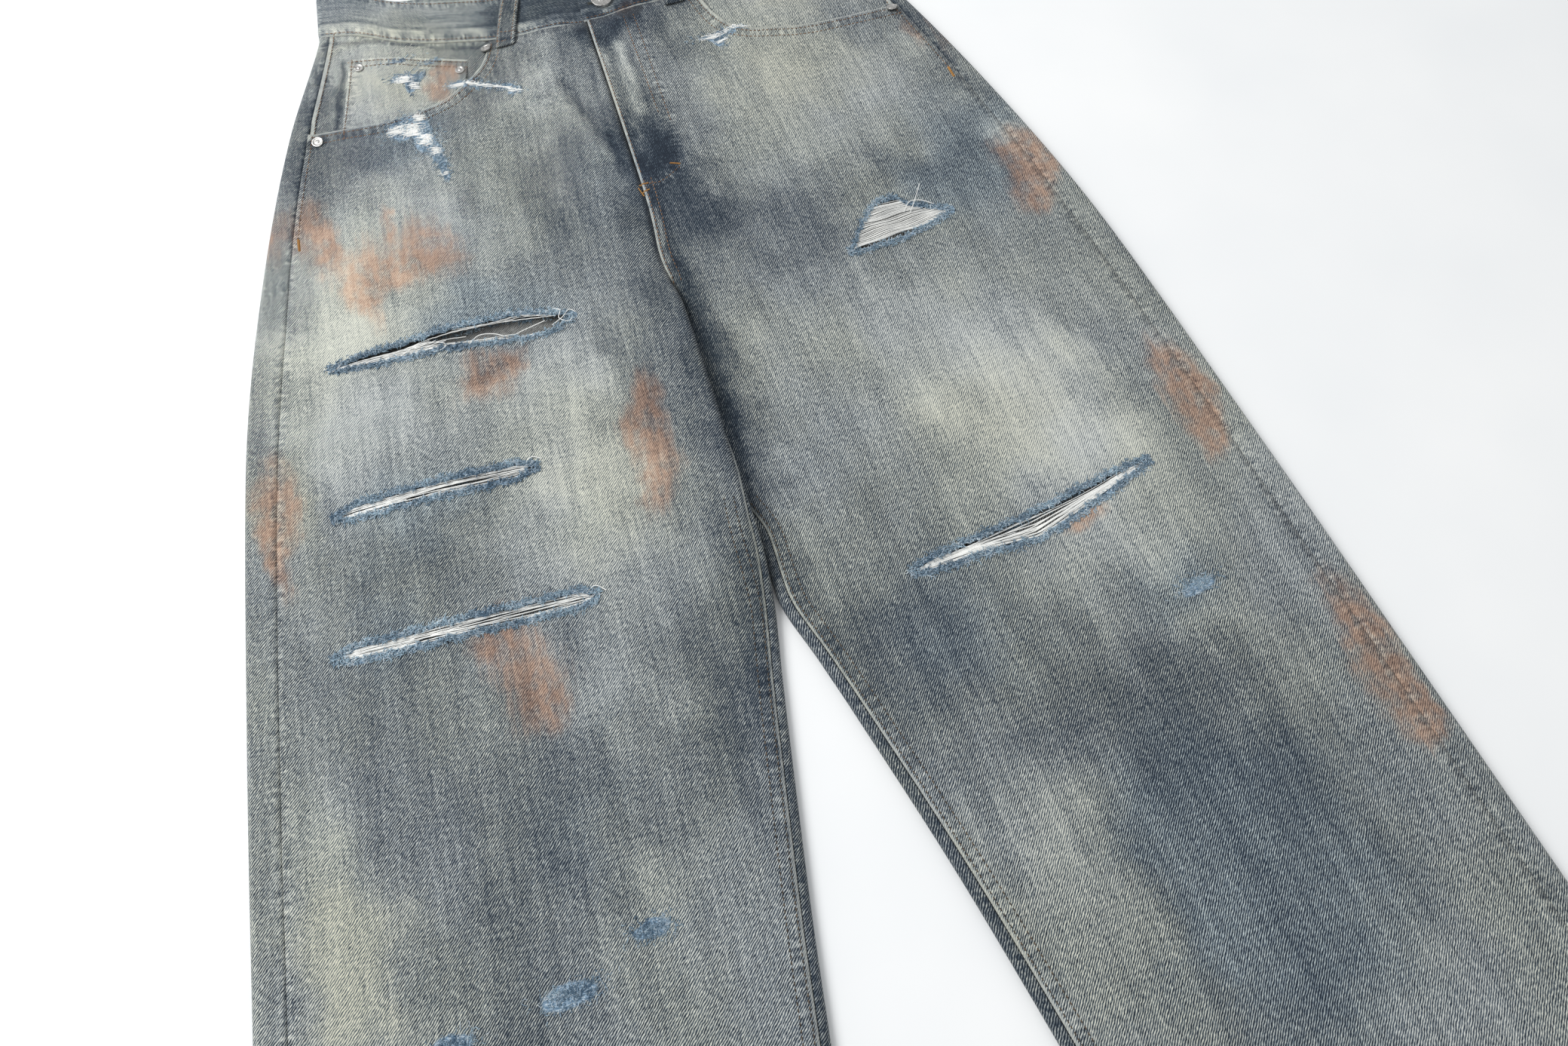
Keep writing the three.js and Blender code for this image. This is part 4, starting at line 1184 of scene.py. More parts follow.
def facing(side):
    shares = np.linspace(*FACING_SHARES, 70)
    v = np.linspace(-0.0005, 0.138, 60)
    drop = lambda x, y: FACING_DROP - 1.2 * ramp(y - mouth_y(side, x), 4, 16)
    shares = 1 - (1 - shares) ** 1.5 / 0.62 ** 0.5
    x, y, z = front_patch(side, shares, v, drop)
    seam, run = nearest_on([band_line(side, 0), front_line(side, 1.0, -0.003, 0.14)], x, y)
    edge, _ = nearest_on([front_line(side, 1.0, -0.003, 0.14)], x, y)
    z = z + 0.9 * (1 - ramp(edge, 2.4, 4.0))
    node = f"pocket_facing_{side}"
    grid_cloth(node, side, x, y, z, cad_flat(node), wash=wash_at(x, y) + 0.06, rust=rust_at(x, y),
               edge=np.abs(edge - 1.4), seam=seam, run=run)


COIN_TOP = [(-190, 471), (-158, 464), (-130, 452), (-98, 440)]
COIN_SIDE = [(-188, 473), (-196, 438), (-204, 406), (-206, 392)]


def coin_pocket():
    """A patch from its top and left edges to just under the pocket mouth."""
    top_x, top_y = np.array(COIN_TOP, float).T
    s = np.linspace(0, 1, 50)
    foot_x = lerp(-205.0, -108.0, s)
    head_x = lerp(-188.0, -99.0, s)
    head_y = np.interp(head_x, top_x, top_y)
    foot_y = mouth_y("right", foot_x) - 4.5
    t = np.linspace(0, 1, 36)[None, :]
    x = lerp(head_x[:, None], foot_x[:, None], t)
    y = lerp(head_y[:, None], foot_y[:, None], t)
    rolled = np.maximum(1 - ramp(head_y[:, None] - y, 0.6, 2.4), 1 - ramp(x - x[:1], 0.6, 2.6))
    z = top_surface("right", x, y) - 0.35 + 0.7 * rolled
    edge, _ = nearest_on([smooth_path(COIN_TOP), smooth_path(COIN_SIDE)], x, y)
    x, y, z = x[::-1], y[::-1], z[::-1]
    seam, run = nearest_on([smooth_path(COIN_TOP) - [0, 4], smooth_path(COIN_SIDE) + [4, 0]], x, y)
    grid_cloth("coin_pocket", "right", x, y, z, (0.11, 0.085), wash=wash_at(x, y) + 0.1, rust=rust_at(x, y),
               fray=fray_at(x, y), edge=edge[::-1], seam=seam, run=run)


def top_surface(side, x, y):
    """Height of the front's middle surface at a place given by x and y."""
    v = np.clip((SEAM_Y - y) / INNER_LENGTH, 0, 1)
    for _ in range(12):
        r = Row(side, v)
        b = (x - r.xi) * r.sign
        _, _, here = r.plan(b)
        v = v + (here - y) / INNER_LENGTH
    r = Row(side, v)
    return r.upper((x - r.xi) * r.sign)


# ---- Backs, yokes and back pockets ----
TOP_STATIONS = 6
FOLD_STATIONS = 11
TABLE_STATIONS = 46
SEAT_END = 30


def back_station(side, kind, share, v):
    """Points down a back piece at one station round it: kind says which stretch, share where on it."""
    r = Row(side, v)
    seam = OUTSEAM_IN[side](r.side_depth) - SEAM_GAP
    leg = legged(v)[..., None]
    table_end = lerp(SEAT_END, FOLD_REACH, legged(v))
    flat_end = lambda t: below(side, v, lerp(SEAT_END, SEAM_GAP / 2, t))
    if kind == "top":
        return on_top(side, v, lerp(r.width - seam, r.width - FOLD_REACH, share))
    if kind == "side":
        return fold(side, v, "side", share)
    if kind == "table":
        return below(side, v, lerp(r.width - FOLD_REACH, table_end, share))
    inseam = inseam_at(side, v) - SEAM_GAP
    return lerp(flat_end(share), round_leg(side, v, lerp(FOLD_REACH - WRAP, inseam, share)), leg)


def back_stations():
    stations = [("top", s) for s in np.linspace(0, 1, TOP_STATIONS)]
    stations += [("side", s) for s in np.linspace(0, 1, FOLD_STATIONS)[1:]]
    stations += [("table", s) for s in np.linspace(0, 1, TABLE_STATIONS)[1:]]
    stations += [("inner", s) for s in np.linspace(0, 1, FOLD_STATIONS + 3)[1:]]
    return stations


YOKE_EDGE = (0.045, 0.095)


def wrap_cloth(node, side, row_v, flat):
    """A back piece, with row_v(kind, share) giving the rows at each station."""
    stations = back_stations()
    rows = [row_v(kind, share) for kind, share in stations]
    points = np.stack([back_station(side, kind, share, v) for (kind, share), v in zip(stations, rows)])
    kinds = np.array([kind for kind, _ in stations])
    step = np.linalg.norm(np.diff(points, axis=0), axis=2)
    arc = np.concatenate([np.zeros((1, points.shape[1])), np.cumsum(step, axis=0)])
    x, y, z = np.moveaxis(points, -1, 0)
    hidden = ramp(arc, 30, 110) * np.isin(kinds, ["table", "inner"])[:, None]
    wash = lerp(wash_at(x, y), back_wash(x, y), hidden)
    r = Row(side, np.stack(rows))
    upper_side = 1 - ramp(r.v, BARTACK_V - 0.01, BARTACK_V + 0.02)
    # Painted shade: a dark strip on the back's top stretch right beside the front's outseam edge, above the
    # bartack.
    wash = wash - 0.30 * upper_side * np.isin(kinds, ["top"])[:, None] * np.exp(-((arc / 2.6) ** 2))
    shaded = (kinds == "inner")[:, None] * (z > 2.0) * legged(r.v)
    wash = lerp(wash, 0.20, shaded)
    u = x[:1] + SIGN[side] * arc
    seam = np.where(np.isin(kinds, ["top"])[:, None], arc, 99.0)
    seam[-4:] = 2.0
    grid_cloth(node, side, x, y, z, flat, wash=wash, rust=rust_at(x, y) * (1 - hidden), seam=seam, run=y,
               uv=grain_uv(side, u, y))


BACK_WASH = [
    (-110, 250, 70, 90, 0.30), (110, 250, 70, 90, 0.30), (-190, -40, 60, 90, 0.26),
    (190, -20, 60, 100, 0.26), (-180, -330, 60, 90, 0.18), (230, -330, 60, 90, 0.18),
    (0, 120, 60, 130, -0.30), (-60, -150, 50, 120, -0.26), (110, -180, 60, 110, -0.26),
    (-250, 120, 40, 120, -0.20), (250, 160, 40, 120, -0.20), (0, 430, 160, 40, -0.2),
]


def back_wash(x, y):
    return MID_WASH + painted(BACK_WASH, x, y, 1.2, 14)


def backs():
    gap = SEAM_GAP / INNER_LENGTH
    for side in SIDES:
        place = lambda kind, share: {"top": 0, "side": 0, "table": share}.get(kind, 1)
        edge = lambda kind, share: lerp(*YOKE_EDGE, place(kind, share))
        yoke = lambda kind, share: np.linspace(-0.0005, edge(kind, share), 18)
        lower = np.linspace(0.2, HEM_V - gap, 200)[1:]
        back = lambda kind, share: np.concatenate([np.linspace(edge(kind, share) + gap, 0.2, 30), lower])
        wrap_cloth(f"yoke_{side}", side, yoke, (0.33, 0.14))
        wrap_cloth(f"back_{side}", side, back, (0.46, 1.03))


POCKET_IN = 48
POCKET_WIDTH = 122
POCKET_DEPTH = 130
POCKET_TOP_V = 0.115
POCKET_POINT_V = 0.255
POCKET_LIFT = CLOTH + SEAM_GAP


def back_pocket_point(side, share, down):
    """A place on the back pocket, share across it and down from its mouth."""
    foot = POCKET_POINT_V - 0.02 * np.abs(2 * share - 1)
    v = lerp(POCKET_TOP_V, foot, down)
    taper = 8 * down
    point = below(side, v, POCKET_IN + lerp(POCKET_WIDTH - taper, taper, share))
    point[..., 2] -= POCKET_LIFT
    return point


def back_pocket(side):
    share, down = np.meshgrid(np.linspace(0, 1, 40), np.linspace(0, 1, 44), indexing="ij")
    point = back_pocket_point(side, share, down)
    x, y, z = np.moveaxis(point, -1, 0)
    z = np.maximum(z, HALF)
    rim = np.minimum(np.minimum(share, 1 - share) * POCKET_WIDTH, down * POCKET_DEPTH)
    grid_cloth(f"back_pocket_{side}", side, x, y, z, (0.125, 0.14), wash=back_wash(x, y) + 0.08,
               edge=np.minimum(rim, (1 - down) * POCKET_DEPTH), seam=rim, run=x + y)


# ---- Hems ----
def hem(side):
    """A turned-up hem: a ring of doubled cloth with its outer face level with the panels'."""
    v = np.linspace(HEM_V, 1, 9)
    share = even(46, 1.0, 1.0)
    front_part = [front_place(side, v, s + 0 * v)[0] for s in share]
    back_part = [back_station(side, kind, s, v) for kind, s in back_stations()]
    points = np.stack(front_part + back_part)
    puff = 0.35 * np.sin(np.pi * np.linspace(0, 1, 9))[None, :]
    points[: len(front_part), :, 2] += puff
    x, y = points[..., 0], points[..., 1]
    arc = lengths_along(points[:, 0])[:, None] + 0 * x
    faces = sheet_faces(x, side, ring=True)
    obj = make_object(f"hem_{side}_cloth", points.reshape(-1, 3), faces, [DENIM, INSIDE])
    from_end = (1 - v) * INNER_LENGTH + 0 * x
    from_top = (v - HEM_V) * INNER_LENGTH + 0 * x
    dress(obj, x, y, wash_at(x, y) + 0.05, 0, 0, from_end, from_top - 2, arc, np.stack([arc, y], -1), side)
    solidify(obj, 2 * CLOTH, -0.5)
    finish_cloth(f"hem_{side}", obj)


# ---- Waistband ----
OVERLAP = {"over": -3, "under": 34}
UNDER_DROP = BAND_WALL + SEAM_GAP + 0.2


def band_base():
    """The band's foot all round, from its under end at the centre front to its over end."""
    def front_of(side):
        r = Row(side, np.zeros(90))
        return on_top(side, r.v, (r.width - FOLD_REACH) * np.linspace(0, 1, 90) ** 0.9)

    def half(side):
        turn = np.stack([fold(side, np.array(0.0), "side", s) for s in np.linspace(0, 1, 13)[1:]])
        r = Row(side, np.zeros(80))
        back = below(side, r.v, (r.width - FOLD_REACH) * np.linspace(1, 0, 80)[:80])
        back[:, 2] += 0.4
        turn[-4:, 2] += np.linspace(0.1, 0.4, 4)
        return np.concatenate([front_of(side), turn, back[1:-1]])

    right, left = half("right"), half("left")
    centre = right[0]
    share = ramp(np.abs(right[:, 0]), 24, 0) * (np.arange(len(right)) < 90)
    right[:, 2] -= UNDER_DROP * share
    under_x = np.linspace(OVERLAP["under"], 0.5, 14)
    under = np.stack([under_x, 0 * under_x + centre[1], 0 * under_x + right[0, 2]], -1)
    centre_back = (right[-1] + left[-1]) / 2
    over = np.array([[OVERLAP["over"], left[0, 1], left[0, 2]]])
    return np.concatenate([under, right, [centre_back], left[::-1], over])


def band_profile():
    """Half-section of the doubled band: (height, offset outwards), with rolled edges."""
    half = BAND_WALL / 2
    angles = np.linspace(-math.pi / 2, math.pi / 2, 7)
    top = [(BAND_HEIGHT - half + half * math.cos(a), -half * math.sin(a)) for a in angles]
    bottom = [(half - half * math.cos(a), half * math.sin(a)) for a in angles]
    up = np.linspace(half, BAND_HEIGHT - half, 28)[1:-1]
    puff = lambda t: 0.35 * math.exp(-(((t - 9) / 4) ** 2)) - 0.3 * math.exp(-(((t - 3.2) / 1.2) ** 2))
    outside = [(t, half + 0.1 + puff(t)) for t in up]
    inside = [(t, -half) for t in up[::-5]]
    return np.array(bottom + outside + top + inside)


def waistband():
    base = band_base()
    along = np.gradient(base, axis=0)
    along /= np.linalg.norm(along, axis=1)[:, None]
    up = np.array([0, 1.0, 0])
    out = np.cross(up, along)
    out /= np.linalg.norm(out, axis=1)[:, None]
    profile = band_profile()
    t, offset = profile[:, 0], profile[:, 1]
    x = base[:, None, 0] * band_taper(t[None, :]) + out[:, None, 0] * offset
    y = base[:, None, 1] + SEAM_GAP + t[None, :]
    wave = 0.25 * ripple(base[:, 0], base[:, 2] * 3, 21, 60)[:, None] * np.sin(np.pi * t / BAND_HEIGHT)
    z = base[:, None, 2] + out[:, None, 2] * (offset + wave)
    points = np.stack([x, y, z], -1)
    index = np.arange(x.size).reshape(x.shape)
    wrapped = np.concatenate([index, index[:, :1]], axis=1)
    faces = grid_faces(wrapped)
    flat_points = points.reshape(-1, 3)
    obj = make_object("waistband_cloth", flat_points, faces, [BAND_DENIM])
    close_ends(obj)
    faces_outwards(obj)
    arc = lengths_along(base)[:, None] + 0 * x
    lower_edge = np.minimum(np.abs(t), np.abs(BAND_HEIGHT - t))[None, :] + 0.3 + 0 * x
    on_front = z > 5
    wash = np.where(on_front, wash_at(x, y), back_wash(x, y))
    turned_in = 0.16 * ramp(t, 1, 4) * ramp(t, 15, 11) - 0.10 * np.exp(-(((t - 15) / 1.6) ** 2))
    wash = wash + turned_in[None, :] * (1 + 0.9 * ripple(x, y, 23, 16)) * on_front
    seam = np.minimum(np.abs(t - 3), np.abs(BAND_HEIGHT - 3 - t))[None, :] + 0 * x
    dress(obj, x, y, wash, rust_at(x, y) * on_front, 0, lower_edge, seam, arc,
          np.stack([arc * 0 + t, arc], -1))
    cut_slot(obj)
    finish_cloth("waistband", obj)


def edit(obj, *steps):
    """Runs edit-mode steps on a whole object: each is (operator, settings)."""
    choose(obj)
    bpy.ops.object.mode_set(mode="EDIT")
    bpy.ops.mesh.select_all(action="SELECT")
    for operator, settings in steps:
        operator(**settings)
    bpy.ops.object.mode_set(mode="OBJECT")


def faces_outwards(obj):
    edit(obj, (bpy.ops.mesh.normals_make_consistent, dict(inside=False)))


def close_ends(obj):
    edit(obj, (bpy.ops.mesh.select_all, dict(action="DESELECT")), (bpy.ops.mesh.select_non_manifold, {}),
         (bpy.ops.mesh.fill_holes, dict(sides=0)))


BUTTON_X = 16
BUTTON_CAP = 8.5
BUTTON_HOLE = 17


def button_place():
    low, high = cad_box("waist_button")
    return (low + high) / 2, high[2]


def cut_slot(obj):
    centre, _ = button_place()
    bpy.ops.mesh.primitive_cube_add(size=1, location=(Vector((BUTTON_X - 3, centre[1], FLY_TOP)) * MM))
    cutter = bpy.context.object
    cutter.scale = (BUTTON_HOLE * MM, 3.0 * MM, 3.2 * MM)
    cut = obj.modifiers.new("buttonhole", "BOOLEAN")
    cut.operation = "DIFFERENCE"
    cut.solver = "FAST"
    cut.object = cutter
    apply_modifiers(obj)
    bpy.data.objects.remove(cutter)


# ---- Belt loops ----
LOOP_WIDTH = 15
LOOP_DROP = 9.5
# Each loop's x at its foot and at its head, and whether it is on the back.
LOOPS = {
    "belt_loop_front_right": (-68, -52, False),
    "belt_loop_front_left": (71, 76, False),
    "belt_loop_back_right": (-128, -128, True),
    "belt_loop_back_left": (128, 128, True),
    "belt_loop_centre_back": (0.1, 0.1, True),
}


def band_surface(x, up, is_back):
    """A place on the waistband's outer face, up millimetres above its seam."""
    side = "right" if x < 0 else "left"
    r = Row(side, np.array(0.0))
    b = (x - r.xi) * r.sign
    foot = below(side, r.v, b) if is_back else on_top(side, r.v, b)
    lift = 0.4 if is_back else 0
    return np.array([x, foot[1] + SEAM_GAP + up, foot[2] + lift])


def belt_loop(name):
    """A strip with two rolled edges, tacked down at both ends and bowed up between them."""
    foot_x, head_x, is_back = LOOPS[name]
    sign = -1 if is_back else 1
    rise = np.linspace(-LOOP_DROP, BAND_HEIGHT - 0.5, 28)
    across = np.linspace(-1, 1, 15)
    t = (rise + LOOP_DROP) / (BAND_HEIGHT + LOOP_DROP - 0.5)
    bow = np.sin(np.pi * t) ** 0.6 * (0.9 if is_back else 2.2)
    ridge = 0.55 * np.exp(-(((np.abs(across) - 0.74) / 0.17) ** 2)) - 0.5 * ramp(np.abs(across), 0.9, 1.0)
    x_mid = lerp(foot_x, head_x, t)
    base = np.stack([band_surface(x, up, is_back) for x, up in zip(x_mid, rise)])
    x = x_mid[None, :] + across[:, None] * LOOP_WIDTH / 2
    y = base[None, :, 1] + 0 * x
    height = BAND_WALL / 2 + 0.35 + HALF + bow[None, :] + ridge[:, None]
    z = base[None, :, 2] + sign * height
    z = np.maximum(z, HALF) if is_back else z
    if is_back:
        x, y, z = x[::-1], y[::-1], z[::-1]
        across = across[::-1]
    edge = (1 - np.abs(across))[:, None] * LOOP_WIDTH / 2 + 0 * x
    wash = (back_wash(x, y) if is_back else wash_at(x, y)) - 0.05
    wash = wash + 0.5 * np.exp(-(((edge - 1.7) / 0.8) ** 2))
    grid_cloth(name, "right", x, y, z, (0.017, 0.056), wash=wash, seam=edge + 1.5, run=y,
               uv=np.stack([x - x_mid[None, :], y], -1))


# ---- Fly: facing, zip and shield ----
def fly_facing():
    b = np.linspace(0.3, 30, 24)
    v = np.linspace(0.005, FLY_LENGTH / INNER_LENGTH, 70)
    r = Row("left", v[None, :] + 0 * b[:, None])
    _, x, y = r.plan(b[:, None])
    z = r.upper(b[:, None] + 0 * x) - 1.7
    grid_cloth("fly_facing", "left", x, y, z, (0.034, 0.165), "denim_dark", wash=wash_at(x, y) - 0.05)


def fly_layer(name, slot_name, mat, thickness):
    """A flat layer in its CAD solid's place: a rounded strip of cloth."""
    low, high = cad_box(name)
    x = np.linspace(low[0], high[0], 12)
    y = np.linspace(low[1], high[1], 50)[::-1]
    grid_x, grid_y = np.meshgrid(x, y, indexing="ij")
    from_foot = grid_y - low[1]
    narrow = 1 - 0.35 * (1 - ramp(from_foot, 0, 26))
    middle = (low[0] + high[0]) / 2
    grid_x = middle + (grid_x - middle) * narrow
    z = np.full(grid_x.shape, (low[2] + high[2]) / 2) + 0.1 * ripple(grid_x, grid_y, 31, 40)
    grid_cloth(name, "left", grid_x, grid_y, z, cad_flat(name), slot_name, INSIDE if mat is DENIM else mat,
               mat, thickness, wash=0.25)


def zip_teeth():
    """Two rows of small teeth and the slider, on the zip's tape."""
    low, high = cad_box("zip")
    middle = (low[0] + high[0]) / 2
    ys = np.arange(low[1] + 14, high[1] - 8, 1.5)
    starts, ends = [], []
    for sign in (-1, 1):
        for store, shift in ((starts, -2.2), (ends, 2.2)):
            store.append(np.stack([middle + shift + 0 * ys, ys + 0.37 * sign, high[2] + 0.2 + 0 * ys], -1))
    paths = np.stack([np.concatenate(starts), np.concatenate(ends)], 1)
    return tube_object("zip_teeth", paths, 0.32, 6, NICKEL)


# ---- Tubes: stitches, threads and fuzz ----
def tube_mesh(paths, radius, sides):
    """Thin tubes along paths[n, k, 3]; radius is a number or an array over n and k."""
    paths = np.asarray(paths, float)
    count, rings, _ = paths.shape
    tangent = np.gradient(paths, axis=1)
    tangent /= np.linalg.norm(tangent, axis=2, keepdims=True) + 1e-9
    helper = np.where(np.abs(tangent[..., 2:3]) > 0.8, [1.0, 0, 0], [0, 0, 1.0])
    across = np.cross(tangent, helper)
    across /= np.linalg.norm(across, axis=2, keepdims=True) + 1e-9
    rise = np.cross(across, tangent)
    angle = np.linspace(0, 2 * math.pi, sides, endpoint=False)
    size = np.broadcast_to(np.asarray(radius, float), (count, rings))[..., None, None]
    ring = across[:, :, None, :] * np.cos(angle)[:, None] + rise[:, :, None, :] * np.sin(angle)[:, None]
    verts = (paths[:, :, None, :] + size * ring).reshape(-1, 3)
    index = np.arange(count * rings * sides).reshape(count, rings, sides)
    after = np.roll(index, -1, axis=2)
    quads = np.stack([index[:, :-1], after[:, :-1], after[:, 1:], index[:, 1:]], -1).reshape(-1, 4)
    return verts, quads


def tube_object(name, paths, radius, sides, mat):
    verts, quads = tube_mesh(paths, radius, sides)
    obj = make_object(name, verts, quads, [mat])
    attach(obj, "root")
    return obj


def tree_of(objects):
    verts, polys, offset = [], [], 0
    for obj in objects:
        mesh = obj.data
        co = np.empty(len(mesh.vertices) * 3, np.float32)
        mesh.vertices.foreach_get("co", co)
        verts += co.reshape(-1, 3).tolist()
        polys += [tuple(i + offset for i in p.vertices) for p in mesh.polygons]
        offset += len(mesh.vertices)
    return BVHTree.FromPolygons(verts, polys)


class Surface:
    """Finds the outermost cloth above or below a place."""

    def __init__(self, objects):
        self.tree = tree_of(objects)

    def height(self, x, y, from_below=False):
        shape = np.shape(x)
        found = np.full(np.size(x), np.nan)
        start, way = (-0.05, 1) if from_below else (0.1, -1)
        down = Vector((0, 0, way))
        for k, (px, py) in enumerate(zip(np.ravel(x), np.ravel(y))):
            hit = self.tree.ray_cast(Vector((px * MM, py * MM, start)), down)[0]
            if hit is not None:
                found[k] = hit[2] / MM
        return found.reshape(shape)


def resample(path, pitch, start=0.0):
    steps = lengths_along(path)
    at = np.arange(start, steps[-1], pitch)
    return np.stack([np.interp(at, steps, path[:, k]) for k in range(2)], -1)


HEM_STITCH_V = HEM_V + 0.0022
STITCH = 3.3
STITCH_RADIUS = 0.36


def stitch_paths(path, pitch=STITCH, share=0.8, seed=0):
    """The two ends of each stitch along a path of (x, y)."""
    points = resample(np.asarray(path, float), pitch)
    if len(points) < 2:
        return np.zeros((0, 2, 2))
    a, b = points[:-1], points[1:]
    rng = np.random.default_rng(seed + len(points))
    jitter = rng.normal(0, 0.07, a.shape)
    return np.stack([a + jitter, lerp(a, b, share) + jitter[::-1]], 1)


def lay_stitches(name, rows, surface, mat, from_below=False, radius=STITCH_RADIUS, height=0.12):
    """Sews rows of stitches, each a little arch sunk into the cloth at its ends."""
    ends = np.concatenate(rows)
    t = np.array([0, 0.28, 0.72, 1.0])
    flat = lerp(ends[:, None, 0], ends[:, None, 1], t[None, :, None])
    z = surface.height(flat[..., 0], flat[..., 1], from_below)
    good = ~np.isnan(z).any(axis=1)
    good &= (z.max(axis=1) - z.min(axis=1)) < 2.5
    flat, z = flat[good], z[good]
    arch = np.array([-0.3, height, height, -0.3])
    z = np.maximum(z - arch, 0.5 * radius) if from_below else z + arch
    paths = np.concatenate([flat, z[..., None]], -1)
    sizes = radius * np.array([0.35, 1.0, 1.0, 0.35])
    return tube_object(name, paths, sizes[None, :], 4, mat)


def bartack(centre, angle, length=9.0, width=2.0):
    """Close parallel stitches across a short bar."""
    along = np.array([math.cos(math.radians(angle)), math.sin(math.radians(angle))])
    across = np.array([-along[1], along[0]])
    at = np.arange(-length / 2, length / 2, 0.55)
    middle = np.array(centre) + at[:, None] * along
    lean = 0.25 * along
    return np.stack([middle - across * width / 2 - lean, middle + across * width / 2 + lean], 1)


# ---- Stitching plan ----
def sew(surface):
    tan, gold, brown = [], [], []
    for side in SIDES:
        sign = SIGN[side]
        tan += [stitch_paths(mouth_line(side, inset), seed=3) for inset in (3.0, 9.0)]
        tan.append(stitch_paths(front_line(side, 1.0, -0.003, BARTACK_V, 3.0)))
        brown += [stitch_paths(front_line(side, 0.0, 0.44, HEM_V - 0.002, inset)) for inset in (2.6, 8.8)]
        tan += [stitch_paths(band_line(side, up)) for up in (3.0, BAND_HEIGHT - 3.0)]
        outseam_tack = front_line(side, 1.0, BARTACK_V, BARTACK_V + 0.01, 4.0)[0]
        gold.append(bartack(outseam_tack, 90 + sign * 4, 10, 2.2))
    tan.append(stitch_paths(front_line("left", 0.0, 0.0, 0.165, 2.0)))
    tan += [stitch_paths(smooth_path(path)) for path in (FLY_J_TOP, FLY_J_INNER, FLY_J_FOOT)]
    tan += [stitch_paths(front_line("left", 0.0, 0.17, CROTCH_V, inset)) for inset in (2.4, 8.0)]
    tan += [stitch_paths(smooth_path(COIN_TOP) - [0.6, inset]) for inset in (2.2, 7.6)]
    tan.append(stitch_paths(smooth_path(COIN_SIDE) + [2.2, -2.0]))
    gold += [bartack(*tack) for tack in FLY_TACKS]
    for side in SIDES:
        hem_row = front_plan(side, np.full(200, HEM_STITCH_V), np.linspace(0, 1, 200))
        tan.append(stitch_paths(np.stack(hem_row, -1)))
    for foot_x, head_x, is_back in LOOPS.values():
        if is_back:
            continue
        foot = band_surface(foot_x, 2.5 - LOOP_DROP, False)[:2]
        head = band_surface(head_x, BAND_HEIGHT - 2, False)[:2]
        for shift in (-LOOP_WIDTH / 2 + 1.8, LOOP_WIDTH / 2 - 1.8):
            tan.append(stitch_paths(np.array([foot + [shift, 1], head + [shift, -1]])))
        tan.append(stitch_paths(np.array([foot + [-5, 1.2], foot + [5, 1.8]]), 2.6))
        tan.append(stitch_paths(np.array([head + [-5, -1.0], head + [5, -1.0]]), 2.6))
    lay_stitches("stitches_tan", tan, surface, TAN_THREAD)
    lay_stitches("stitches_brown", brown, surface, BROWN_THREAD)
    lay_stitches("stitches_gold", gold, surface, GOLD_THREAD, height=0.25)


def table_row(side, shares, rows):
    """A path on the underside, through shares across the back at their rows."""
    return np.stack([back_station(side, "table", s, np.array(v))[:2] for s, v in zip(shares, rows)])


def underside_rows(side):
    """Stitch paths on the underside: yoke seam, seat seam, pocket, hem and band."""
    rows = []
    gap = SEAM_GAP / INNER_LENGTH
    share = np.linspace(0.0, 1.0, 120)
    for down in (3.0, 9.0):
        rows.append(table_row(side, share, lerp(*YOKE_EDGE, share) + gap + down / INNER_LENGTH))
    for inset in (3.0, 9.0):
        v = np.linspace(0.11, CROTCH_V - 0.02, 80)
        rows.append(below(side, v, inset + 0 * v)[:, :2])
        rows.append(back_pocket_path(side, inset))
    rows.append(table_row(side, np.linspace(0, 1, 200), np.full(200, HEM_STITCH_V)))
    for up in (3.0, BAND_HEIGHT - 3.0):
        r = Row(side, np.zeros(120))
        line = below(side, r.v, (r.width - FOLD_REACH) * np.linspace(0, 1, 120))[:, :2]
        rows.append(line * [band_taper(up), 1] + [0, SEAM_GAP + up])
    return rows


def back_pocket_path(side, inset):
    """Down one side of the back pocket, round its point and up the other."""
    share_in = (inset - 1) / POCKET_WIDTH
    down_in = (inset - 1) / POCKET_DEPTH
    left = [(share_in, t) for t in np.linspace(0.02, 1 - down_in - 0.02, 30)]
    foot = [(s, 1 - down_in) for s in np.linspace(share_in, 1 - share_in, 30)]
    right = [(1 - share_in, t) for t in np.linspace(1 - down_in - 0.02, 0.02, 30)]
    pairs = np.array(left + foot + right)
    return back_pocket_point(side, pairs[:, 0], pairs[:, 1])[:, :2]


def sew_underside(surface):
    rows = []
    for side in SIDES:
        rows += [stitch_paths(path) for path in underside_rows(side)]
        for down in (0.05, 0.1):
            mouth = back_pocket_point(side, np.linspace(0.03, 0.97, 40), np.full(40, down))
            rows.append(stitch_paths(mouth[:, :2]))
    lay_stitches("stitches_underside", rows, surface, TAN_THREAD, True)


# ---- Torn yarn ----
def curls(rng, x, y, z, heading, length, rise, points=6, wild=0.9):
    """Curly fibres from a place: each turns at random as it runs, and rises in the middle."""
    count = len(x)
    step = length[:, None] / (points - 1)
    turn = np.cumsum(rng.normal(0, wild, (count, points - 1)), axis=1) + heading[:, None]
    px = np.concatenate([x[:, None], x[:, None] + np.cumsum(step * np.cos(turn), axis=1)], axis=1)
    py = np.concatenate([y[:, None], y[:, None] + np.cumsum(step * np.sin(turn), axis=1)], axis=1)
    t = np.linspace(0, 1, points)[None, :]
    pz = z[:, None] + rise[:, None] * np.sin(np.pi * np.clip(t * 0.9, 0, 1)) + 0.05
    return np.stack([px, py, pz], -1)


FUZZ_DENSITY = 5.0


def seeds_at(surface, rng, x, y, stand):
    """Where fibres grow on the cloth: places, headings and how much they stand up."""
    z = surface.height(x, y)
    seeds = np.stack([x, y, z, rng.uniform(0, 2 * math.pi, len(x)), stand + 0 * x], -1)
    return seeds[~np.isnan(z)]


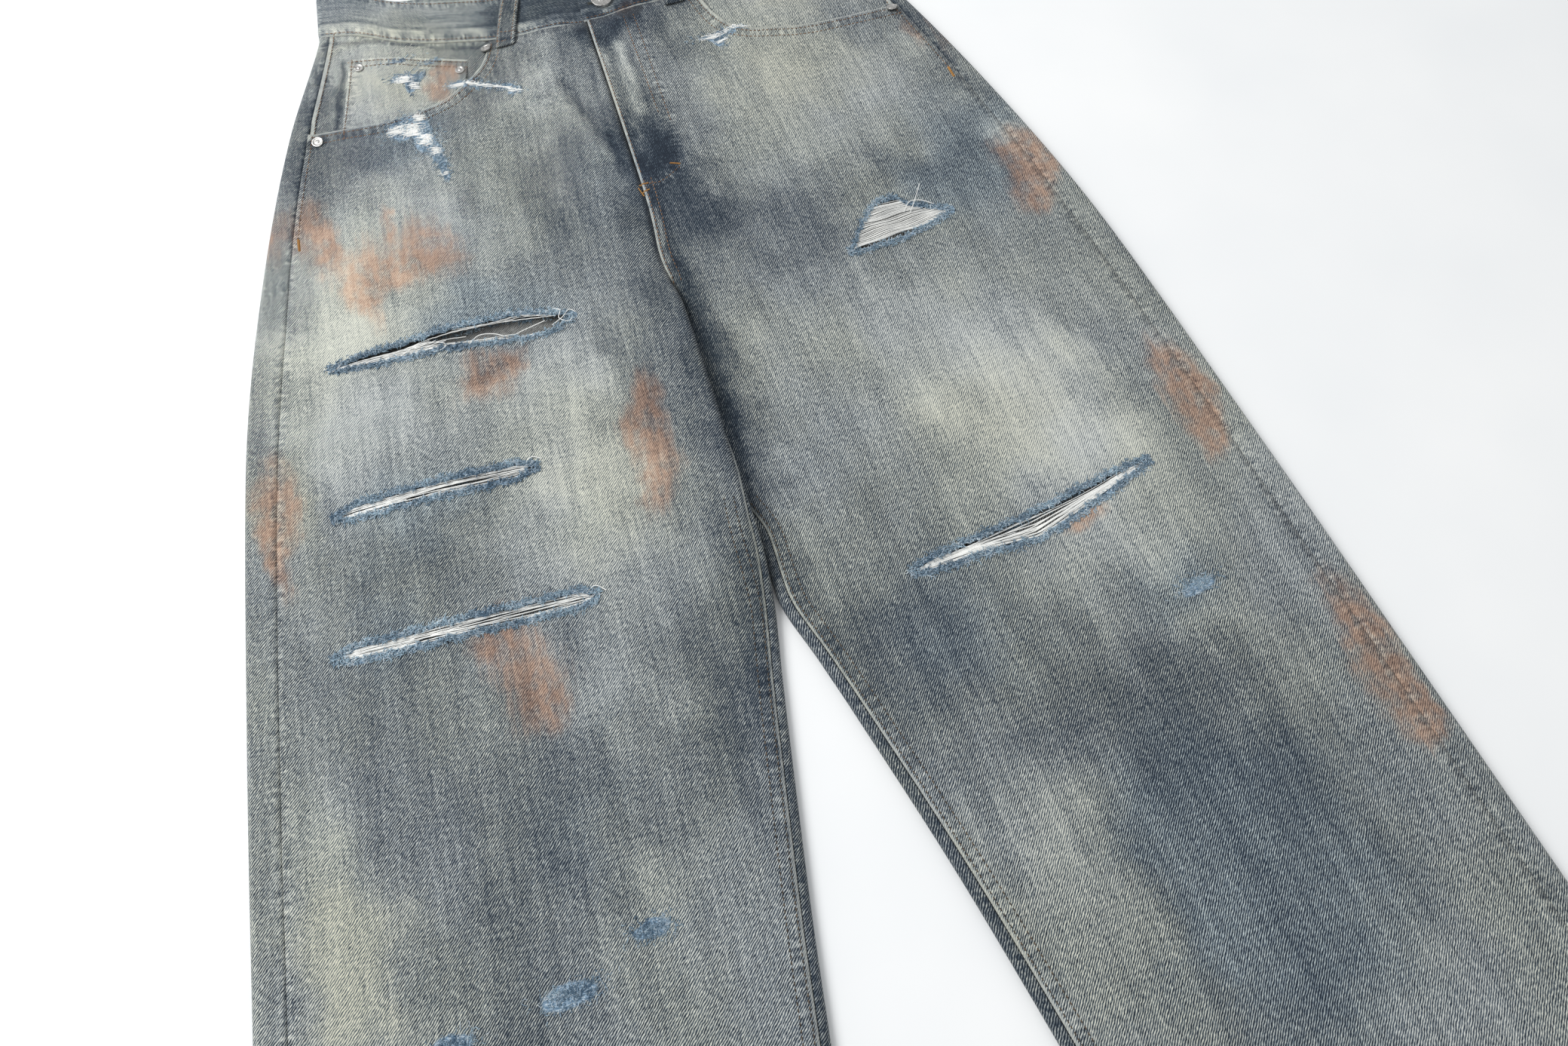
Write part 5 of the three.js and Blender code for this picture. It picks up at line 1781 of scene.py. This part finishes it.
def lip_fuzz(tear, surface, rng):
    """Seeds of woolly fibres in clumps over both lips of a tear."""
    first, last = tear_ends(tear)
    found = []
    for which, sign in (("up", 1), ("down", -1)):
        clumps = np.arange(first - 1.5, last + 1.5, 1.86)
        clumps = clumps + rng.normal(0, 0.5, len(clumps))
        reach_out = rng.uniform(-1.0, 4.0, (len(clumps), 3))
        per_clump = int(1.7 * FUZZ_DENSITY / 2)
        x = (clumps[:, None, None] + rng.normal(0, 0.7, (len(clumps), 3, per_clump))).ravel()
        out = (reach_out[..., None] + rng.normal(0, 0.5, (len(clumps), 3, per_clump))).ravel()
        y = interp(tear["line"], x) + sign * (lip_reach(tear, which, x) + out)
        found.append(seeds_at(surface, rng, x, y, 1 - np.abs(out - 1) / 4.5))
    return np.concatenate(found)


def fray_fuzz(surface, rng):
    """Fibres over the worn patches."""
    found = []
    for cx, cy, rx, ry, _ in FRAYS:
        count = int(rx * ry * FUZZ_DENSITY * 0.55)
        x = rng.normal(cx, rx * 0.55, count)
        y = rng.normal(cy, ry * 0.55, count)
        found.append(seeds_at(surface, rng, x, y, 0.5))
    return np.concatenate(found)


def grow_fuzz(name, seeds, rng, mat, length, rise, radius, wild=1.15):
    count = len(seeds)
    stand = np.clip(seeds[:, 4], 0.2, 1.2)
    paths = curls(rng, seeds[:, 0], seeds[:, 1], seeds[:, 2], seeds[:, 3],
                  rng.uniform(*length, count), rng.uniform(*rise, count) * stand, 5, wild)
    sizes = radius * rng.uniform(0.7, 1.25, (count, 1)) * np.array([1, 1, 1, 0.85, 0.4])
    return tube_object(name, paths, sizes, 3, mat)


# Bright weft left bare in the worn patches: (centre x, centre y, half-length, threads, lean in degrees).
BARE_WEFT = [
    (-164, 387, 8, 9, 4), (-153, 384, 8, 14, -8), (-147, 394, 5, 7, -4), (-145, 371, 6, 13, -14),
    (-140, 358, 4.5, 8, -10), (-137, 334, 3, 4, 0), (-151, 437, 8, 8, -10), (-144, 428, 4.5, 8, -20),
    (-110, 417, 9, 4, -6), (-100, 413.5, 8, 3, -24), (-90, 408, 8, 3, -28), (-80, 402, 8, 3, -28),
    (-71, 396, 5, 4, -24), (92, 402, 13, 5, 2), (110, 404, 9, 4, 4), (95, 395, 5, 4, 4),
]


def bare_weft(surface):
    """Short bundles of white weft lying across the worn patches."""
    rng = np.random.default_rng(31)
    paths = []
    for cx, cy, half, count, degrees in BARE_WEFT:
        slope = math.tan(math.radians(degrees))
        for k in range(count):
            reach = half * rng.uniform(0.55, 1.1)
            middle = cx + rng.normal(0, 0.18 * half)
            x = np.linspace(middle - reach, middle + reach, 12)
            y = cy + (k - count / 2) * 0.85 + slope * (x - cx) + rng.normal(0, 0.25) + 0.35 * np.sin(
                x * rng.uniform(0.2, 0.7) + rng.uniform(0, 6))
            z = surface.height(x, y)
            if np.isnan(z).any():
                continue
            z = z + 0.1 + 0.45 * np.sin(np.pi * np.linspace(0, 1, 12)) * rng.uniform(0.3, 1)
            paths.append(np.stack([x, y, z], -1))
    tapered = 0.42 * np.sin(np.pi * np.linspace(0.06, 0.94, 12)) ** 0.5
    tube_object("bare_weft", np.stack(paths), tapered[None, :], 5, WHITE_YARN)


def weft_fluff(surface, rng):
    """Short white fibres standing off the bare weft."""
    found = []
    for cx, cy, half, count, degrees in BARE_WEFT:
        number = int(half * count * FUZZ_DENSITY * 0.3)
        x = rng.normal(cx, 0.42 * half, number)
        y = rng.normal(cy, 0.26 * count, number) + math.tan(math.radians(degrees)) * (x - cx)
        found.append(seeds_at(surface, rng, x, y, 0.6))
    return np.concatenate(found)


def weft_threads(tear, spans, rng, surface_z, points=46):
    """White weft threads that cross a tear along its length, between two shares of its gape."""
    paths = []
    for start, end, low, high in spans:
        x = np.linspace(start, end, points)
        q0, q1 = rng.uniform(low, high), rng.uniform(low, high)
        drift = 0.06 * np.sin(x * rng.uniform(0.05, 0.11) + rng.uniform(0, 6))
        share = lerp(q0, q1, np.linspace(0, 1, points)) + drift
        line = interp(tear["line"], x)
        up, down = lip_reach(tear, "up", x, False), lip_reach(tear, "down", x, False)
        y = line + lerp(-down, up, np.clip(share, 0.02, 0.98))
        sag = rng.uniform(-0.8, 0.6)
        hang = sag * np.sin(np.pi * np.linspace(0, 1, points))
        z = surface_z(x, y) + 0.1 + hang + 0.15 * np.sin(x * 0.9 + q0 * 30)
        paths.append(np.stack([x, y, z], -1))
    return paths


def torn_threads():
    rng = np.random.default_rng(8)
    right = lambda x, y: top_surface("right", x, y)
    left = lambda x, y: top_surface("left", x, y)
    tears_r, tears_l = TEARS["right"], TEARS["left"]
    paths = []
    # First slit: a bundle in the outer half that thins out along the lower lip.
    bundle = [(-241 + rng.uniform(0, 5), rng.uniform(-190, -150), 0.05, 0.9) for _ in range(15)]
    bundle += [(-236 + rng.uniform(0, 30), rng.uniform(-125, -95), 0.02, 0.16) for _ in range(6)]
    bundle += [(rng.uniform(-185, -150), rng.uniform(-95, -81), 0.86, 0.97) for _ in range(4)]
    paths += weft_threads(tears_r[0], bundle, rng, right)
    for tear, low, high in ((tears_r[1], -254, -130), (tears_r[2], -268, -112)):
        spans = [(low + rng.uniform(0, 5), high - rng.uniform(0, 5), k / 12, (k + 1) / 12)
                 for k in range(12)]
        spans += [(low + rng.uniform(0, 9), rng.uniform(low + 40, high - 40), 0.1, 0.9) for _ in range(5)]
        paths += weft_threads(tear, spans, rng, right)
    spans = [(83 + rng.uniform(0, 8), 250 - rng.uniform(0, 22), 0.04 * k, 0.04 * k + 0.05)
             for k in range(16)]
    spans += [(84 + rng.uniform(0, 8), rng.uniform(125, 175), 0.08 * k + 0.3, 0.08 * k + 0.4)
              for k in range(8)]
    spans += [(84 + rng.uniform(0, 6), 246 - rng.uniform(0, 12), 0.78, 0.9), (85, 250, 0.7, 0.8)]
    paths += weft_threads(tears_l[1], spans, rng, left)
    tri = tears_l[0]
    for share in np.linspace(0.02, 0.97, 44):
        x = np.linspace(126, 204, 200)
        line = interp(tri["line"], x)
        y_at = lerp(172, 205, share) + 8 * (x - 126) / 78 * (1 - share)
        under_top = y_at < line + lip_reach(tri, "up", x, False)
        inside = under_top & (y_at > line - lip_reach(tri, "down", x, False) - 0.4)
        if inside.sum() < 6:
            continue
        span = x[inside][[0, -1]] + [-1.0, 1.0]
        t = np.linspace(0, 1, 46)
        px = lerp(span[0], span[1], t)
        py = np.interp(px, x, y_at) + 0.5 * np.sin(px * 0.2 + share * 9) + rng.normal(0, 0.25)
        pz = left(px, py) + 0.2 + 0.9 * np.sin(np.pi * t) * rng.uniform(0.1, 1.0)
        paths.append(np.stack([px, py, pz], -1))
    girth = rng.uniform(0.22, 0.4, (len(paths), 1))
    tube_object("weft_threads", np.stack(paths), girth, 4, WHITE_YARN)


def loose_threads():
    """A few long ends that curl over the first slit and stand up from the triangular one."""
    routes = [
        [(-196, 189, 0.6), (-184, 193, 1.4), (-172, 191, 2.0), (-164, 187, 1.4), (-170, 184, 1.0),
         (-178, 186, 1.0)],
        [(-150, 183, 0.4), (-142, 188, 1.2), (-132, 186, 1.8), (-122, 181, 1.2), (-112, 183, 0.8),
         (-96, 186, 0.6)],
        [(-88, 194, 0.6), (-84, 190, 1.8), (-86, 184, 2.0), (-80, 180, 1.2), (-76, 184, 0.8)],
        [(-92, 181, 0.6), (-84, 184, 1.6), (-78, 189, 1.2), (-74, 186, 0.6)],
        [(-236, 196, 0.6), (-243, 192, 1.0), (-248, 196, 0.8)],
        [(176, 190, 1.0), (181, 196, 3.4), (186, 203, 5.2), (190, 209, 6.0)],
        [(172, 192, 1.0), (179, 199, 2.0), (188, 197, 2.4), (196, 192, 1.0)],
        [(-133, 84, 0.6), (-128, 87, 1.2), (-122, 84, 0.8)],
        [(-116, -15, 0.6), (-110, -12, 1.2), (-104, -17, 0.8)],
    ]
    paths = []
    for route in routes:
        curve = smooth_path(route, 40)
        side = "right" if curve[0, 0] < 0 else "left"
        curve[:, 2] += top_surface(side, curve[:, 0], curve[:, 1]) + 0.3
        paths.append(curve)
    tube_object("loose_threads", np.stack(paths), 0.3, 5, WHITE_YARN)


# ---- Button and rivets ----
def settle(obj, matrix):
    """Puts an object's mesh in place, leaving the object itself untransformed."""
    obj.data.transform(matrix)
    obj.data.update()
    obj.matrix_world = Matrix.Identity(4)
    return obj


def turned_disc(name, radius, height, rim, dish):
    """A round metal cap: rolled rim, dished face and a raised middle."""
    bpy.ops.mesh.primitive_cylinder_add(vertices=48, radius=radius * MM, depth=height * MM)
    obj = bpy.context.object
    obj.name = name
    edit(obj, (bpy.ops.mesh.select_all, dict(action="DESELECT")))
    top = max(obj.data.polygons, key=lambda p: p.center.z)
    top.select = True
    bpy.ops.object.mode_set(mode="EDIT")
    bpy.ops.mesh.select_mode(type="FACE")
    for inset, drop in ((rim, 0), (0.12 * radius, -dish), (0.3 * radius, 0), (0.1 * radius, dish * 0.8)):
        bpy.ops.mesh.inset(thickness=inset * MM, depth=drop * MM)
    bpy.ops.object.mode_set(mode="OBJECT")
    bevel = obj.modifiers.new("rounded", "BEVEL")
    bevel.width = 0.22 * MM
    bevel.segments = 3
    bevel.limit_method = "ANGLE"
    apply_modifiers(obj)
    bpy.ops.object.shade_smooth_by_angle(angle=math.radians(35))
    obj.data.materials.append(NICKEL)
    return obj


def finish_metal(obj, node):
    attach(obj, "root")
    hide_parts(node)


def upright_on(normal):
    return Vector(normal).to_track_quat("Z", "Y").to_matrix().to_4x4()


def rivets(surface):
    for pocket, end in itertools.product(("right", "left", "coin"), ("inner", "outer")):
        node = f"rivet_{pocket}_{end}"
        low, high = cad_box(node)
        centre = (low + high) / 2
        around = [surface.height(np.array([centre[0] + dx]), np.array([centre[1] + dy]))[0]
                  for dx, dy in ((0, 0), (3, 0), (-3, 0), (0, 3), (0, -3))]
        slope = (around[1] - around[2]) / 6, (around[3] - around[4]) / 6
        normal = Vector((-slope[0], -slope[1], 1)).normalized()
        radius = 3.6 if pocket == "coin" else 4.3
        obj = turned_disc(f"{node}_cap", radius, 1.3, 1.0, 0.35)
        seat = Vector((centre[0], centre[1], max(around) + 0.45)) * MM
        finish_metal(settle(obj, Matrix.Translation(seat) @ upright_on(normal)), node)


def waist_button():
    centre, top = button_place()
    obj = turned_disc("waist_button_cap", BUTTON_CAP, 2.4, 1.5, 0.5)
    bpy.ops.mesh.primitive_cylinder_add(vertices=24, radius=2 * MM, depth=3.4 * MM,
                                        location=(0, 0, -2.6 * MM))
    shank = bpy.context.object
    shank.data.materials.append(NICKEL)
    choose(obj, shank)
    bpy.ops.object.join()
    place = Matrix.Translation(Vector((centre[0], centre[1], top - 1.2)) * MM)
    finish_metal(settle(obj, place), "waist_button")


# ---- Table, camera and light ----
def table_top():
    bpy.ops.mesh.primitive_plane_add(size=12, location=(0, 0, -0.0002))
    floor = bpy.context.object
    floor.name = "table_top"
    mat, w, shader = material("pale_table")
    place = w.node("TexCoord").outputs["Object"]
    tone = w.noise(place, 6.0, 3.0, 0.5)
    w.feed(shader.inputs["Base Color"], w.ramp(tone, [(0.3, (240, 242, 243)), (0.7, (246, 247, 247))]))
    shader.inputs["Roughness"].default_value = 0.9
    shader.inputs["Specular IOR Level"].default_value = 0.1
    floor.data.materials.append(mat)


CAMERA_PLACE = (-50, -232, 586)
CAMERA_HEADING = 16.2
CAMERA_TILT = 68.2
CAMERA_ROLL = 2.1


def camera():
    data = bpy.data.cameras.new("camera")
    data.lens = 22.5
    data.sensor_width = 36
    data.clip_start = 0.02
    heading, tilt, roll = (math.radians(a) for a in (CAMERA_HEADING, CAMERA_TILT, CAMERA_ROLL))
    ahead = Vector((math.sin(heading), math.cos(heading), 0))
    forward = ahead * math.cos(tilt) + Vector((0, 0, -math.sin(tilt)))
    right = Vector((ahead.y, -ahead.x, 0))
    down = -math.sin(tilt) * ahead + Vector((0, 0, -math.cos(tilt)))
    side = math.cos(roll) * right + math.sin(roll) * down
    up = math.sin(roll) * right - math.cos(roll) * down
    obj = bpy.data.objects.new("camera", data)
    bpy.context.scene.collection.objects.link(obj)
    obj.matrix_world = Matrix.Translation(Vector(CAMERA_PLACE) * MM) @ Matrix(
        (side, up, -forward)).transposed().to_4x4()
    bpy.context.scene.camera = obj


LAMP_PLACE = (-1.3, 0.9, 1.7)


def light():
    scene = bpy.context.scene
    scene.view_settings.view_transform = "Standard"
    world = bpy.data.worlds.new("studio")
    world.use_nodes = True
    sky = world.node_tree.nodes["Background"].inputs
    sky["Color"].default_value = (0.98, 0.99, 1.0, 1)
    sky["Strength"].default_value = 0.62
    scene.world = world
    lamp = bpy.data.lights.new("softbox", "AREA")
    lamp.shape = "RECTANGLE"
    lamp.size, lamp.size_y = 1.6, 1.2
    lamp.energy = 42
    obj = bpy.data.objects.new("softbox", lamp)
    scene.collection.objects.link(obj)
    obj.matrix_world = Matrix.Translation(LAMP_PLACE) @ upright_on(LAMP_PLACE)


# ---- Build ----
for side in SIDES:
    front(side)
    facing(side)
    hem(side)
    back_pocket(side)
backs()
coin_pocket()
waistband()
for loop_name in LOOPS:
    belt_loop(loop_name)
fly_facing()
fly_layer("zip", "zip_tape", TAPE, CLOTH)
fly_layer("fly_shield", "denim_dark", DENIM, 1.5)
zip_teeth()

cloth_surface = Surface(list(PIECES.values()))
sew(cloth_surface)
sew_underside(cloth_surface)
fuzz_rng = np.random.default_rng(5)
for side in SIDES:
    for number, slit in enumerate(TEARS[side], 1):
        seeds = lip_fuzz(slit, cloth_surface, fuzz_rng)
        pale = fuzz_rng.random(len(seeds)) < 0.30
        lip = f"{side}_{number}"
        grow_fuzz(f"fuzz_{lip}", seeds[~pale], fuzz_rng, BLUE_YARN, (2.2, 4.4), (0.5, 2.0), 0.31)
        grow_fuzz(f"fuzz_pale_{lip}", seeds[pale], fuzz_rng, PALE_YARN, (2.0, 4.2), (0.6, 2.0), 0.25)
worn = fray_fuzz(cloth_surface, fuzz_rng)
is_pale = fuzz_rng.random(len(worn)) < 0.28
grow_fuzz("fray_blue", worn[~is_pale], fuzz_rng, BLUE_YARN, (2.0, 4.5), (0.2, 1.0), 0.24)
grow_fuzz("fray_pale", worn[is_pale], fuzz_rng, PALE_YARN, (2.0, 4.5), (0.3, 1.1), 0.2)
bare_weft(cloth_surface)
fluff = weft_fluff(cloth_surface, fuzz_rng)
grow_fuzz("weft_fluff", fluff, fuzz_rng, WHITE_YARN, (1.6, 3.6), (0.3, 1.2), 0.24)
torn_threads()
loose_threads()
rivets(cloth_surface)
waist_button()

table_top()
camera()
light()
